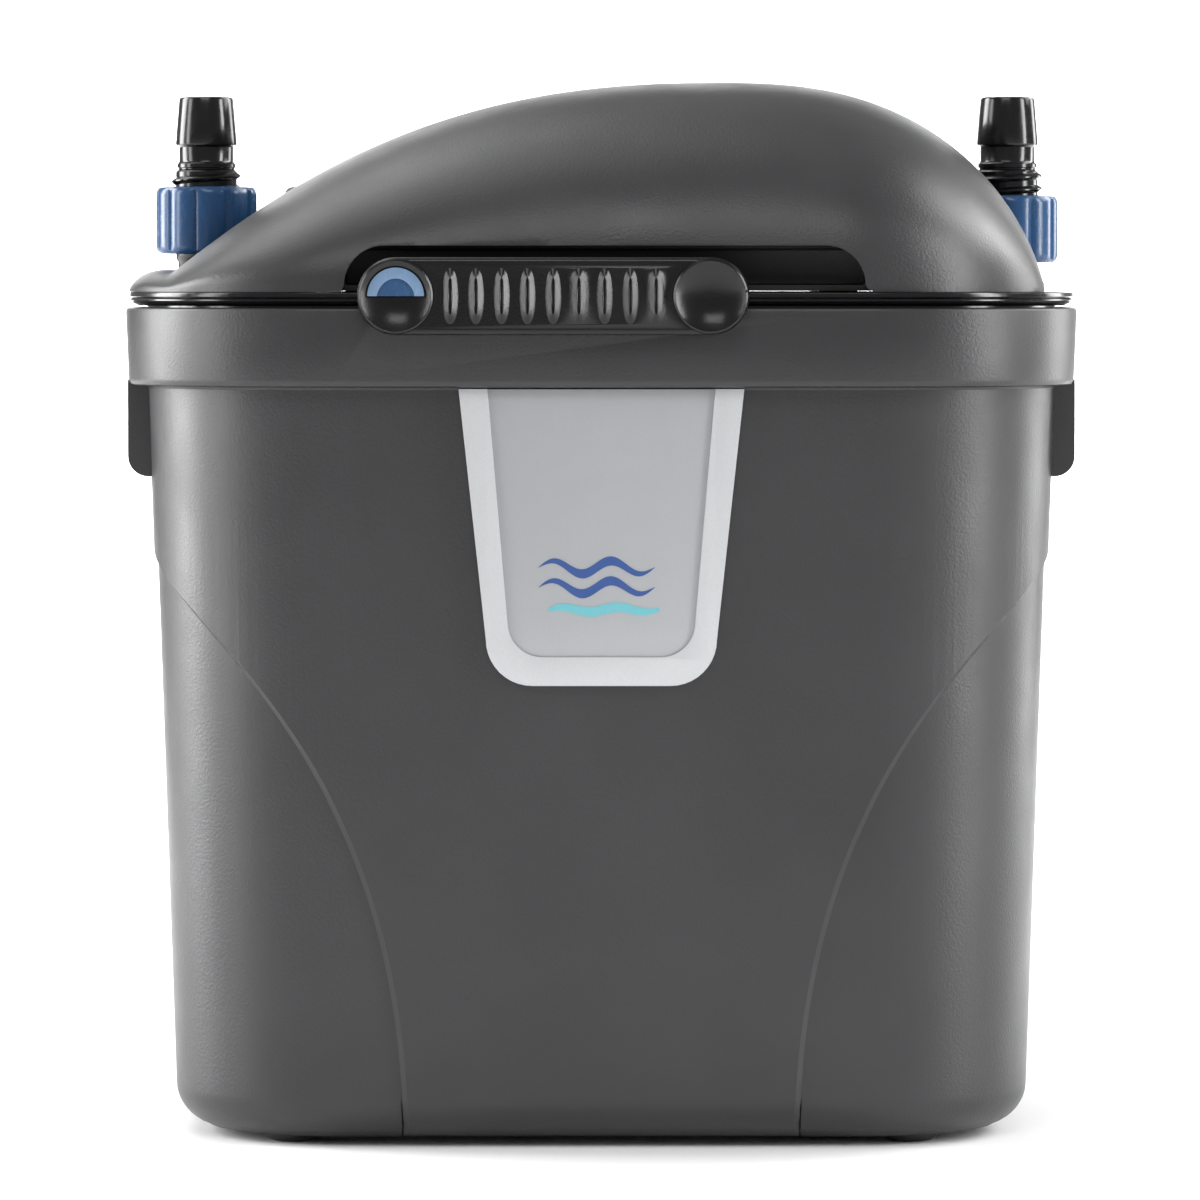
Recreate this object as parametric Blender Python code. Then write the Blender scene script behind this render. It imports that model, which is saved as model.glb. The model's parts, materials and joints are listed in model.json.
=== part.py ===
"""Canister filter for an aquarium: a bucket of filter media closed by a pump head.

Metres, +Z up, -Y is the front. The origin is on the surface that the feet stand on, in the middle
of the canister's plan. Every piece is its own object. Pieces that move are parented to an empty
on the axis of their joint.
"""

import math

import bmesh
import bpy
from mathutils import Matrix, Vector

# Overall sizes
RIM_WIDTH = 0.2100
RIM_DEPTH = 0.1500
RIM_TOP = 0.1823
RIM_CORNER = 0.0480
HOOD_RISE = 0.0465
HOOD_PEAK_X = 0.0274

# Gap left between pieces that touch, and clearance round pieces that move
GAP = 0.0003
RUNNING = 0.0003

# Feet
FOOT_RADIUS = 0.0060
FOOT_HEIGHT = 0.0015
FOOT_FLAT = 0.0030
FOOT_IN_X = 0.0374
FOOT_IN_Y = 0.0270

# Canister
BODY_BOTTOM = FOOT_HEIGHT + GAP
RIM_PROUD = 0.0048
RIM_BAND = 0.0171
RIM_LIP = 0.0040
BAND_DRAFT = 0.0006
WALL = 0.0026
FLOOR = 0.0030
BASE_ROUND = 0.0090
DRAFT = math.tan(math.radians(1.88))
SEAL_SHELF_DEPTH = 0.0148
FLAP_DROP = 0.0202
FLAP_HALF_LENGTH = 0.0320
FLAP_ROUND = 0.0045

# Shallow arch pressed into each end of the canister, in lengths round the wall and up from the base
ARCH_REACH = 0.1065
ARCH_TOP = 0.1330
ARCH_POWER = 2.15
ARCH_SINK = 0.0009
ARCH_WRAP_INSET = 0.0070

# Badge on the front
BADGE_HALF_TOP = 0.0307
BADGE_HALF_BOTTOM = 0.0249
BADGE_HEIGHT = 0.0640
BADGE_CORNER = 0.0100
BADGE_THICK = 0.0016
BADGE_BORDER = 0.0062
PANEL_SUNK = 0.0004

# Lid plate and its seal
PLATE = 0.0030
PLATE_INSET = 0.0007
PLATE_CHAMFER = 0.0022
PLUG_DROP = 0.0116
PLUG_WALL = 0.0028
PLUG_CLEAR = 0.0006
SEAL_WIDTH = 0.0029

# Hood
HOOD_WALL = 0.0025
HOOD_FRONT_INSET = 0.0010
HOOD_RIGHT_INSET = 0.0070
HOOD_DECK = 0.0046
TOE_LENGTH = 0.0096
TOE_ROUND = 0.0060
HOOD_DEPTH_POWER = 2.3
HOOD_SLOPE_POWER = 2.42
HOOD_END_POWER = 2.5
HOOD_END_ROUND = 1.6

# Hose connectors: X of each axis, in from the end of the rim, and their common Y
INLET_IN = 0.0150
OUTLET_IN = 0.0125
PORT_Y = 0.0240
HOSE_BORE = 0.0045
CONE_TOP_RADIUS = 0.0062
CONE_RADIUS = 0.0070
NECK_RADIUS = 0.0062
SPIGOT_RADIUS = 0.0065
THREAD_RADIUS = 0.0080
TAIL_HEIGHT = 0.0439
CONE_HEIGHT = 0.0108
NECK_HEIGHT = 0.0041
THREAD_LENGTH = 0.0200
TAIL_FLANGE = 0.0086
TAIL_FLANGE_THICK = 0.0020

# Union nuts and the clamp rings inside them
CLAMP_RING_WALL = 0.00086
NUT_HEIGHT = 0.0153
NUT_WALL = 0.0021
NUT_LIP = 0.0028
NUT_FLUTES = 10
INLET_NUT_UP = 0.0082
OUTLET_NUT_UP = 0.0062
CLAMP_RING_HEIGHT = 0.0080
BAY_CLEAR = 0.0024

# Slide lock on the front
WINDOW_LEFT = -0.0552
WINDOW_RIGHT = 0.0567
WINDOW_HEIGHT = 0.0097
WINDOW_CORNER = 0.0080
WINDOW_REACH = 0.0060
SLIDE_LEFT = -0.0523
SLIDE_RIGHT = 0.0317
SLIDE_UP = 0.0072
SLIDE_DOWN = 0.0095
SLIDE_THICK = 0.0050
SLIDE_OFF_RIM = 0.0006
SLIDE_TRAVEL = 0.0225
DISH_RADIUS = 0.0085
DISH_DEPTH = 0.0012
RIB_COUNT = 9
RIB_PITCH = 0.0055
RIB_SLOT = 0.0009
RIB_HEIGHT = 0.0122
RIB_SLOT_DEPTH = 0.0008
TONGUE_HEIGHT = 0.0040
CHANNEL_DEPTH = 0.0082
CHANNEL_WALL = 0.0012

# Release button in the slide
BUTTON_RADIUS = 0.0061
BUTTON_THICK = 0.0016
BUTTON_SUNK = 0.0007
BUTTON_TRAVEL = 0.0015
POCKET_FLOOR = 0.0008
LEAF_HALF_LENGTH = 0.0032
LEAF_HALF_WIDTH = 0.0012
LEAF_THICK = 0.0003
LEAF_UP = 0.45
LEAF_STEPS = 10

# Hooks behind the slide
HOOK_WIDTH = 0.0080
HOOK_THICK = 0.0017
HOOK_UP = 0.0030
HOOK_BARB = 0.0008
HOOK_IN_LEFT = 0.0083
HOOK_IN_RIGHT = 0.0082
HOOK_CLEAR = 0.0010
HOOK_SLOT_DEPTH = 0.0030

# Pump
PUMP_X = 0.0200
ROTOR_RADIUS = 0.0098
ROTOR_HEIGHT = 0.0260
SHAFT_RADIUS = 0.0015
BUSH_RADIUS = 0.0032
BUSH_HEIGHT = 0.0030
WELL_WALL = 0.0018
WELL_HEIGHT = 0.0333
WELL_CLEAR = 0.0010
PUMP_RADIUS = 0.0220
PUMP_WALL = 0.0022
PUMP_DROP = 0.0227
PUMP_FLOOR = 0.0026
PUMP_INLET_RADIUS = 0.0032
PUMP_INLET_CIRCLE = 0.0096
IMPELLER_RADIUS = 0.0150
IMPELLER_CLEAR = 0.0010
IMPELLER_HUB = 0.0046
BLADE_HEIGHT = 0.0090
BLADE_THICK = 0.0014
BLADES = 6
SCREEN_RADIUS = 0.0160
SCREEN_HEIGHT = 0.0040
SCREEN_WALL = 0.0016
SCREEN_SLOTS = 5
SCREEN_SLOT = 0.0024
SCREEN_PITCH = 0.0046
CORE_UP = 0.0100
CORE_HEIGHT = 0.0140
POLE_END = 0.0022
POLE_LIP = 0.0010
POLE_GAP = 0.0060
POLE_THICK = 0.0041
CORE_ARM = 0.0080
CORE_YOKE = 0.0070
COIL_WALL = 0.0026
COIL_LENGTH = 0.0200
COIL_CLEAR = 0.0024

# Water ways below the plate
PIPE_RADIUS = 0.0070
PIPE_WALL = 0.0014
DUCT_HEIGHT = 0.0106
DUCT_WALL = 0.0014
DUCT_FRONT = 0.0170
DUCT_WIDTH = 0.0110
DUCT_REAR = 0.0060
DUCT_TURN = 0.0120
DUCT_SLANT = 0.0240
ELBOW_DROP = 0.0240
PIPE_IN = 0.0250
PIPE_OFF_FLOOR = 0.0010

# Filter baskets
TRAY_CLEAR = 0.0022
TRAY_WALL = 0.0016
TRAY_LIP = 0.0006
TRAY_LIP_HEIGHT = 0.0020
TRAY_FLOOR = 0.0020
LOWER_TRAY_HEIGHT = 0.0640
TRAY_OFF_FLOOR = 0.0036
TRAY_STEP = 0.0020
HEAD_SPACE = 0.0087
TRAY_SLOTS = 7
TRAY_SLOT_WIDTH = 0.0040
MEDIA_CLEAR = 0.0006
COARSE_BELOW_TOP = 0.0057
PAD_BELOW_TOP = 0.0084
PAD_THICK = 0.0120
HANDLE_HEIGHT = 0.0080
HANDLE_THICK = 0.0030

# Hood screws and cable gland
SCREW_IN_X = 0.0530
SCREW_IN_Y = 0.0270
SCREW_SHANK = 0.0014
SCREW_HEAD = 0.0028
SCREW_HEAD_HEIGHT = 0.0022
SCREW_LENGTH = 0.0110
BOSS_RADIUS = 0.0038
GLAND_OFF_BAY = 0.01104
GLAND_UP = 0.0130
GLAND_RADIUS = 0.0052
GLAND_BORE = 0.0033
GLAND_BOSS_HALF = 0.0080
GLAND_BOSS_TOP = 0.0238
GLAND_BOSS_IN = 0.0030
GLAND_BOSS_DEPTH = 0.0320

CORNER_STEPS = 7
ROUND_STEPS = 20

# Heights and faces that follow from the sizes above
BAND_BOTTOM = RIM_TOP - RIM_BAND
SEAL_SHELF = RIM_TOP - SEAL_SHELF_DEPTH
PLATE_BOTTOM = RIM_TOP + 0.0004
PLATE_TOP = PLATE_BOTTOM + PLATE
HOOD_BASE = PLATE_TOP + GAP
HOOD_LEFT = -RIM_WIDTH / 2 + PLATE_INSET
HOOD_RIGHT = RIM_WIDTH / 2 - HOOD_RIGHT_INSET
HOOD_HALF_DEPTH = RIM_DEPTH / 2 - HOOD_FRONT_INSET
FLOOR_TOP = BODY_BOTTOM + FLOOR
INLET_X = -RIM_WIDTH / 2 + INLET_IN
OUTLET_X = RIM_WIDTH / 2 - OUTLET_IN
PIPE_X = -RIM_WIDTH / 2 + PIPE_IN
TAIL_BOTTOM = PLATE_TOP + GAP
NUT_RADIUS = THREAD_RADIUS + RUNNING + CLAMP_RING_WALL + RUNNING + NUT_WALL
BAY_RADIUS = NUT_RADIUS + BAY_CLEAR
SLIDE_BACK = -RIM_DEPTH / 2 - SLIDE_OFF_RIM
SLIDE_FRONT = SLIDE_BACK - SLIDE_THICK
SLIDE_TOP = HOOD_BASE + SLIDE_UP
SLIDE_BOTTOM = HOOD_BASE - SLIDE_DOWN
SLIDE_MID = (SLIDE_TOP + SLIDE_BOTTOM) / 2
SLIDE_END = (SLIDE_TOP - SLIDE_BOTTOM) / 2
DISH_LEFT_X = SLIDE_LEFT + SLIDE_END
DISH_RIGHT_X = SLIDE_RIGHT - SLIDE_END
CHANNEL_FRONT = -HOOD_HALF_DEPTH + HOOD_WALL + 3 * GAP
PUMP_BOTTOM = PLATE_BOTTOM - PUMP_DROP
SCREEN_BOTTOM = PUMP_BOTTOM - GAP - SCREEN_HEIGHT
LOWER_TRAY_BOTTOM = FLOOR_TOP + TRAY_OFF_FLOOR
UPPER_TRAY_BOTTOM = LOWER_TRAY_BOTTOM + LOWER_TRAY_HEIGHT + TRAY_STEP
UPPER_TRAY_HEIGHT = SCREEN_BOTTOM - HEAD_SPACE - HANDLE_HEIGHT - UPPER_TRAY_BOTTOM
COARSE_THICK = LOWER_TRAY_HEIGHT - TRAY_FLOOR - GAP - COARSE_BELOW_TOP
FINE_THICK = UPPER_TRAY_HEIGHT - TRAY_FLOOR - 2 * GAP - PAD_THICK - PAD_BELOW_TOP
WELL_OUTER = ROTOR_RADIUS + WELL_CLEAR + WELL_WALL
CORE_HALF = WELL_OUTER + GAP + POLE_THICK
SCREW_X = RIM_WIDTH / 2 - SCREW_IN_X
SCREW_Y = RIM_DEPTH / 2 - SCREW_IN_Y
GLAND_X = INLET_X + BAY_RADIUS + GLAND_OFF_BAY
GLAND_BOSS_REAR = RIM_DEPTH / 2 - GLAND_BOSS_IN
HOOK_XS = (SLIDE_LEFT + HOOK_IN_LEFT, SLIDE_RIGHT - SLIDE_TRAVEL - HOOK_IN_RIGHT)
HOOK_BOTTOM = SLIDE_BOTTOM + HOOK_UP
HOOK_TOP = RIM_TOP - 0.0002
GLAND_Z = HOOD_BASE + GLAND_UP


# Shared helpers


def clear_scene():
    for old in list(bpy.data.objects):
        bpy.data.objects.remove(old)


def material(name, colour, roughness, metallic=0.0):
    made = bpy.data.materials.new(name)
    made.use_nodes = True
    shader = made.node_tree.nodes["Principled BSDF"]
    shader.inputs["Base Color"].default_value = (*colour, 1.0)
    shader.inputs["Roughness"].default_value = roughness
    shader.inputs["Metallic"].default_value = metallic
    made.diffuse_color = (*colour, 1.0)
    return made


def joint_empty(name, location, parent=None):
    """An empty on a joint's axis. What moves with the joint is parented to it."""
    empty = bpy.data.objects.new(name, None)
    empty.empty_display_size = 0.01
    bpy.context.scene.collection.objects.link(empty)
    place(empty, location, parent)
    return empty


def place(obj, location, parent=None):
    """Puts the object at a point of the whole model, whatever it is parented to."""
    obj["at"] = tuple(location)
    start = Vector(parent["at"]) if parent else Vector((0.0, 0.0, 0.0))
    obj.parent = parent
    obj.location = Vector(location) - start


def to_object(bm, name, finish=None, at=(0.0, 0.0, 0.0), parent=None):
    """An object from the bmesh, with its faces pointing out and its flat faces kept sharp."""
    bmesh.ops.remove_doubles(bm, verts=bm.verts, dist=1e-6)
    bmesh.ops.recalc_face_normals(bm, faces=bm.faces)
    if bm.calc_volume(signed=True) < 0:
        bmesh.ops.reverse_faces(bm, faces=bm.faces)
    mesh = bpy.data.meshes.new(name)
    bm.to_mesh(mesh)
    bm.free()
    mesh.shade_smooth()
    mesh.set_sharp_from_angle(angle=math.radians(30))
    obj = bpy.data.objects.new(name, mesh)
    bpy.context.scene.collection.objects.link(obj)
    if finish:
        mesh.materials.append(finish)
    else:
        obj.hide_render = True
        obj.display_type = "WIRE"
    place(obj, at, parent)
    return obj


def boolean(obj, other, operation):
    step = obj.modifiers.new(other.name, "BOOLEAN")
    step.operation = operation
    step.solver = "EXACT"
    step.object = other


def cut(obj, *cutters):
    for cutter in cutters:
        boolean(obj, cutter, "DIFFERENCE")


def fuse(obj, *others):
    for other in others:
        boolean(obj, other, "UNION")


def rounded_rectangle(half_x, half_y, radius, steps=CORNER_STEPS):
    """Outline points (x, y), counter-clockwise from the +X side."""
    points = []
    for quarter, (side_x, side_y) in enumerate(((1, 1), (-1, 1), (-1, -1), (1, -1))):
        for step in range(steps + 1):
            angle = (quarter + step / steps) * math.pi / 2
            points.append(
                (
                    side_x * (half_x - radius) + radius * math.cos(angle),
                    side_y * (half_y - radius) + radius * math.sin(angle),
                )
            )
    return points


def rim_ring(inset, z):
    """The rim's outline at a height, moved in by inset."""
    outline = rounded_rectangle(RIM_WIDTH / 2 - inset, RIM_DEPTH / 2 - inset, RIM_CORNER - inset)
    return [(x, y, z) for x, y in outline]


def add_loop(bm, points):
    verts = [bm.verts.new(point) for point in points]
    return [bm.edges.new(pair) for pair in zip(verts, verts[1:] + verts[:1])]


def lofted(rings, name, finish=None, at=(0.0, 0.0, 0.0), parent=None, closed=False):
    """A solid through rings of equally many points. With closed, the last ring joins the first."""
    bm = bmesh.new()
    loops = [[bm.verts.new(point) for point in ring] for ring in rings]
    if not closed:
        bm.faces.new(reversed(loops[0]))
        bm.faces.new(loops[-1])
    for near, far in zip(loops, loops[1:] + loops[:1] if closed else loops[1:]):
        for step, vert in enumerate(near):
            bm.faces.new((near[step - 1], vert, far[step], far[step - 1]))
    return to_object(bm, name, finish, at, parent)


def prism(outline, low, high, name, finish=None, at=(0.0, 0.0, 0.0), parent=None, along="Z"):
    """An outline of (x, y) points extruded from low to high. Along Y, the points are (x, z)."""
    if along == "Z":
        rings = [[(x, y, level) for x, y in outline] for level in (low, high)]
    elif along == "Y":
        rings = [[(x, level, z) for x, z in outline] for level in (low, high)]
    else:
        rings = [[(level, y, z) for y, z in outline] for level in (low, high)]
    return lofted(rings, name, finish, at, parent)


def turned(profile, name, finish=None, at=(0.0, 0.0, 0.0), parent=None, steps=ROUND_STEPS):
    """A closed profile of (radius, z) points turned about Z."""
    bm = bmesh.new()
    edges = add_loop(bm, [(radius, 0.0, z) for radius, z in profile])
    bmesh.ops.spin(
        bm,
        geom=list(bm.verts) + edges,
        cent=(0.0, 0.0, 0.0),
        axis=(0.0, 0.0, 1.0),
        angle=2 * math.pi,
        steps=steps,
        use_merge=True,
    )
    lone = [face for face in bm.faces if face.calc_area() < 1e-12]
    bmesh.ops.delete(bm, geom=lone, context="FACES")
    return to_object(bm, name, finish, at, parent)


def cylinder(radius, low, high, name, finish=None, at=(0.0, 0.0, 0.0), parent=None,
             along="Z", steps=ROUND_STEPS):
    turn = {
        "X": Matrix.Rotation(math.pi / 2, 4, "Y"),
        "Y": Matrix.Rotation(-math.pi / 2, 4, "X"),
        "Z": Matrix.Identity(4),
    }[along]
    middle = Matrix.Translation((0.0, 0.0, (low + high) / 2))
    bm = bmesh.new()
    bmesh.ops.create_cone(
        bm,
        cap_ends=True,
        segments=steps,
        radius1=radius,
        radius2=radius,
        depth=high - low,
        matrix=turn @ middle,
    )
    return to_object(bm, name, finish, at, parent)


def block(low, high, name, finish=None, at=(0.0, 0.0, 0.0), parent=None, bevel=0.0):
    """A box between two corners, its edges rounded by bevel."""
    bm = bmesh.new()
    size = Vector(high) - Vector(low)
    middle = (Vector(high) + Vector(low)) / 2
    bmesh.ops.create_cube(bm, size=1.0)
    bmesh.ops.scale(bm, vec=size, verts=bm.verts)
    bmesh.ops.translate(bm, vec=middle, verts=bm.verts)
    if bevel:
        bmesh.ops.bevel(
            bm,
            geom=bm.edges,
            offset=bevel,
            affect="EDGES",
            segments=2,
            profile=0.5,
            material=-1,
        )
    return to_object(bm, name, finish, at, parent)


# Root: the canister and what stays in it


def body_inset(z):
    """How far the canister's outer wall is in from the rim at a height."""
    return RIM_PROUD + (BAND_BOTTOM - z) * DRAFT


def wrap_point(inset, along):
    """A point (x, y) on the rim's outline moved in by inset, a length along it from the middle
    of the +X end. The length is the one round the middle of the wall, so that lines stay
    upright where the wall is inset more."""
    half_x = RIM_WIDTH / 2 - inset
    half_y = RIM_DEPTH / 2 - inset
    radius = RIM_CORNER - inset
    straight = RIM_DEPTH / 2 - RIM_CORNER
    turn_length = (RIM_CORNER - ARCH_WRAP_INSET) * math.pi / 2
    length = abs(along)
    if length <= straight:
        x, y = half_x, length
    elif length <= straight + turn_length:
        angle = (length - straight) / (RIM_CORNER - ARCH_WRAP_INSET)
        x = half_x - radius + radius * math.cos(angle)
        y = half_y - radius + radius * math.sin(angle)
    else:
        x, y = half_x - radius - (length - straight - turn_length), half_y
    return x, math.copysign(y, along)


def arch_lengths(steps=7):
    """Lengths round the wall where the arch's outline has a point: at the wall's own corners in
    plan, and closer together where the outline comes down steeply on the front and rear."""
    straight = RIM_DEPTH / 2 - RIM_CORNER
    turn_length = (RIM_CORNER - ARCH_WRAP_INSET) * math.pi / 2
    half = [straight * step / 3 for step in range(1, 4)]
    half += [straight + turn_length * step / CORNER_STEPS for step in range(1, CORNER_STEPS + 1)]
    last = math.acos((half[-1] / ARCH_REACH) ** (ARCH_POWER / 2))
    for step in range(1, steps + 1):
        angle = last * (1 - step / steps)
        half.append(ARCH_REACH * math.cos(angle) ** (2 / ARCH_POWER))
    return [-length for length in reversed(half)] + [0.0] + half


def arch_cutter(name, side):
    """The skin that the shallow arch takes off one end: half a superellipse wrapped round it."""
    low, out = -0.002, 0.004
    rings = []
    for length in arch_lengths():
        share = min(abs(length) / ARCH_REACH, 1.0)
        high = ARCH_TOP * (1 - share**ARCH_POWER) ** (1 / ARCH_POWER)
        ring = []
        for z, sink in ((low, ARCH_SINK), (high, ARCH_SINK), (high, -out), (low, -out)):
            x, y = wrap_point(body_inset(z) + sink, length)
            ring.append((side * x, y, z))
        rings.append(ring)
    return lofted(rings, name)


def make_canister(plastic):
    """The bucket: base, drafted wall, thick rim with a seal shelf, and a hand flap at each end."""
    base_steps = 4
    rings = []
    for step in range(base_steps + 1):
        angle = math.pi / 2 * step / base_steps
        z = BODY_BOTTOM + BASE_ROUND * (1 - math.cos(angle))
        rings.append((body_inset(z) + BASE_ROUND * (1 - math.sin(angle)), z))
    rings += [
        (RIM_PROUD, BAND_BOTTOM),
        (BAND_DRAFT + 0.0010, BAND_BOTTOM),
        (BAND_DRAFT, BAND_BOTTOM + 0.0010),
        (0.0, RIM_TOP - 0.0006),
        (0.0006, RIM_TOP),
        (RIM_LIP, RIM_TOP),
        (RIM_LIP, SEAL_SHELF),
        (body_inset(BAND_BOTTOM) + WALL, SEAL_SHELF),
    ]
    inner_round = BASE_ROUND - WALL
    for step in reversed(range(base_steps)):
        angle = math.pi / 2 * (step + 1) / base_steps
        z = FLOOR_TOP + inner_round * (1 - math.cos(angle))
        rings.append((body_inset(z) + WALL + inner_round * (1 - math.sin(angle)), z))
    rings.append((body_inset(FLOOR_TOP) + WALL + inner_round, FLOOR_TOP))
    canister = lofted([rim_ring(inset, z) for inset, z in rings], "canister", plastic)
    for side in (-1, 1):
        fuse(canister, flap(side))
    for side, name in ((-1, "left_arch_cutter"), (1, "right_arch_cutter")):
        cut(canister, arch_cutter(name, side))
    cut(canister, hook_slot())
    return canister


def flap(side):
    """The part of the rim that reaches down each end as a hand hold."""
    outer = RIM_WIDTH / 2 - BAND_DRAFT
    inner = RIM_WIDTH / 2 - RIM_PROUD - WALL * 0.7
    low = BAND_BOTTOM - FLAP_DROP
    high = (BAND_BOTTOM + SEAL_SHELF) / 2
    outline = [(inner, low), (outer - FLAP_ROUND, low)]
    for step in range(1, 4):
        angle = math.pi / 2 * step / 4
        outline.append(
            (
                outer - FLAP_ROUND + FLAP_ROUND * math.sin(angle),
                low + FLAP_ROUND * (1 - math.cos(angle)),
            )
        )
    outline += [(outer, low + FLAP_ROUND), (outer, high), (inner, high)]
    outline = [(side * x, z) for x, z in outline]
    name = "left_flap" if side < 0 else "right_flap"
    return prism(outline, -FLAP_HALF_LENGTH, FLAP_HALF_LENGTH, name, along="Y")


def hook_slot():
    """The slot in the front of the rim that the slide's hooks run along. It is open at the top,
    so that the hooks come out of it when the head is lifted."""
    low = (
        HOOK_XS[0] - HOOK_WIDTH / 2 - HOOK_CLEAR,
        -RIM_DEPTH / 2 - 0.001,
        HOOK_BOTTOM - HOOK_CLEAR,
    )
    high = (
        HOOK_XS[1] + HOOK_WIDTH / 2 + SLIDE_TRAVEL + HOOK_CLEAR,
        -RIM_DEPTH / 2 + HOOK_SLOT_DEPTH,
        RIM_TOP + 0.001,
    )
    return block(low, high, "hook_slot_cutter")


def make_feet(rubber):
    half_x = RIM_WIDTH / 2 - FOOT_IN_X
    half_y = RIM_DEPTH / 2 - FOOT_IN_Y
    profile = [(0.0, 0.0), (FOOT_FLAT, 0.0)]
    for step in range(1, 5):
        angle = math.pi / 2 * step / 4
        radius = FOOT_FLAT + (FOOT_RADIUS - FOOT_FLAT) * math.sin(angle)
        profile.append((radius, FOOT_HEIGHT * (1 - math.cos(angle))))
    profile.append((0.0, FOOT_HEIGHT))
    for end, y in (("front", -half_y), ("rear", half_y)):
        for side, x in (("left", -half_x), ("right", half_x)):
            turned(profile, f"foot_{end}_{side}", rubber, at=(x, y, 0.0), steps=20)


def badge_outline(inset, steps=4):
    """The shield's outline (across, up), from the middle of its top edge, moved in by inset."""
    corner = BADGE_CORNER - inset * 0.4
    lower_x = BADGE_HALF_BOTTOM - inset * 0.75
    lower_z = -BADGE_HEIGHT + inset
    points = [(BADGE_HALF_TOP - inset, 0.0), (-BADGE_HALF_TOP + inset, 0.0)]
    for side, start in ((-1, math.pi), (1, 1.5 * math.pi)):
        for step in range(steps + 1):
            angle = start + math.pi / 2 * step / steps
            points.append(
                (
                    side * (lower_x - corner) + corner * math.cos(angle),
                    lower_z + corner + corner * math.sin(angle),
                )
            )
    return points


def badge_plate(inset, back, front, name, finish=None):
    """A plate of the shield's outline lying on the canister's sloping front wall. Back and front
    are distances out from the wall."""
    rings = []
    for out in (back, front):
        ring = []
        for across, up in badge_outline(inset):
            z = BAND_BOTTOM - GAP + up
            ring.append((across, -RIM_DEPTH / 2 + body_inset(z) - out, z))
        rings.append(ring)
    return lofted(rings, name, finish)


def make_badge(silver, grey):
    frame = badge_plate(0.0, GAP, GAP + BADGE_THICK, "badge_frame", silver)
    cut(frame, badge_plate(BADGE_BORDER, GAP - 0.002, GAP + BADGE_THICK + 0.002, "badge_window"))
    above_low = (-BADGE_HALF_TOP - 0.01, -RIM_DEPTH, BAND_BOTTOM - GAP)
    above_high = (BADGE_HALF_TOP + 0.01, 0.0, BAND_BOTTOM + 0.01)
    cut(frame, block(above_low, above_high, "badge_top"))
    badge_plate(BADGE_BORDER + GAP, GAP, GAP + BADGE_THICK - PANEL_SUNK, "badge_panel", grey)


def make_downpipe(plastic):
    """The pipe that takes incoming water to the bottom of the canister."""
    low = FLOOR_TOP + 0.0050
    high = PLATE_BOTTOM - GAP - ELBOW_DROP - GAP
    bore = PIPE_RADIUS - PIPE_WALL
    foot = FLOOR_TOP + PIPE_OFF_FLOOR
    profile = [(bore, foot), (PIPE_RADIUS, foot), (PIPE_RADIUS, high), (bore, high)]
    pipe = turned(profile, "downpipe", plastic, at=(PIPE_X, PORT_Y, 0.0))
    cut(
        pipe,
        block(
            (PIPE_X - 0.003, PORT_Y - 0.02, foot - 0.001),
            (PIPE_X + 0.003, PORT_Y + 0.02, low),
            "downpipe_notch",
        ),
    )


# Filter baskets


def tray_inset(z):
    return body_inset(z) + WALL + TRAY_CLEAR


def pipe_notch(name, clear, low, high):
    """The corner left free for the downpipe and for the elbow above it."""
    reach = PIPE_RADIUS + clear
    outline = [(PIPE_X - 0.03, PORT_Y - reach), (PIPE_X, PORT_Y - reach)]
    for step in range(1, 8):
        angle = -math.pi / 2 + math.pi * step / 8
        outline.append((PIPE_X + reach * math.cos(angle), PORT_Y + reach * math.sin(angle)))
    outline += [(PIPE_X, PORT_Y + reach), (PIPE_X - 0.03, PORT_Y + reach)]
    return prism(outline, low, high, name)


def make_basket(prefix, bottom, height, plastic, parent):
    """An open tray with a slotted floor, notched round the downpipe."""
    top = bottom + height
    outer, inner = tray_inset(bottom), tray_inset(bottom) + TRAY_WALL
    rings = [
        rim_ring(outer, bottom),
        rim_ring(outer, top - TRAY_LIP_HEIGHT),
        rim_ring(outer - TRAY_LIP, top - TRAY_LIP_HEIGHT),
        rim_ring(outer - TRAY_LIP, top),
    ]
    basket = lofted(rings, f"{prefix}_basket", plastic, parent=parent)
    cut(basket, pipe_notch(f"{prefix}_notch", TRAY_CLEAR, bottom - 0.01, top + 0.01))
    hollow_rings = [rim_ring(inner, bottom + TRAY_FLOOR), rim_ring(inner, top + 0.01)]
    hollow = lofted(hollow_rings, f"{prefix}_tray_hollow")
    cut(hollow, pipe_notch(f"{prefix}_notch_wall", TRAY_CLEAR + TRAY_WALL, bottom - 0.01, top + 0.02))
    cut(basket, hollow)
    slot_gap = 2 * (RIM_WIDTH / 2 - inner - 0.020) / TRAY_SLOTS
    half_y = RIM_DEPTH / 2 - inner - 0.012
    for slot in range(TRAY_SLOTS):
        x = (slot - (TRAY_SLOTS - 1) / 2) * slot_gap
        rear = PORT_Y - PIPE_RADIUS - 0.008 if x < PIPE_X + 0.025 else half_y
        cut(
            basket,
            block(
                (x - TRAY_SLOT_WIDTH / 2, -half_y, bottom - 0.001),
                (x + TRAY_SLOT_WIDTH / 2, rear, bottom + TRAY_FLOOR + 0.001),
                f"{prefix}_slot_{slot}",
            ),
        )
    return basket


def make_media(name, tray_bottom, low, thick, finish, parent):
    """A pad of filter media that fills a basket from wall to wall."""
    inset = tray_inset(tray_bottom) + TRAY_WALL + MEDIA_CLEAR
    rings = [
        rim_ring(inset + 0.001, low),
        rim_ring(inset, low + 0.001),
        rim_ring(inset, low + thick - 0.001),
        rim_ring(inset + 0.001, low + thick),
    ]
    pad = lofted(rings, name, finish, parent=parent)
    clear = TRAY_CLEAR + TRAY_WALL + MEDIA_CLEAR
    cut(pad, pipe_notch(f"{name}_notch", clear, low - 0.01, low + thick + 0.01))


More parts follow.
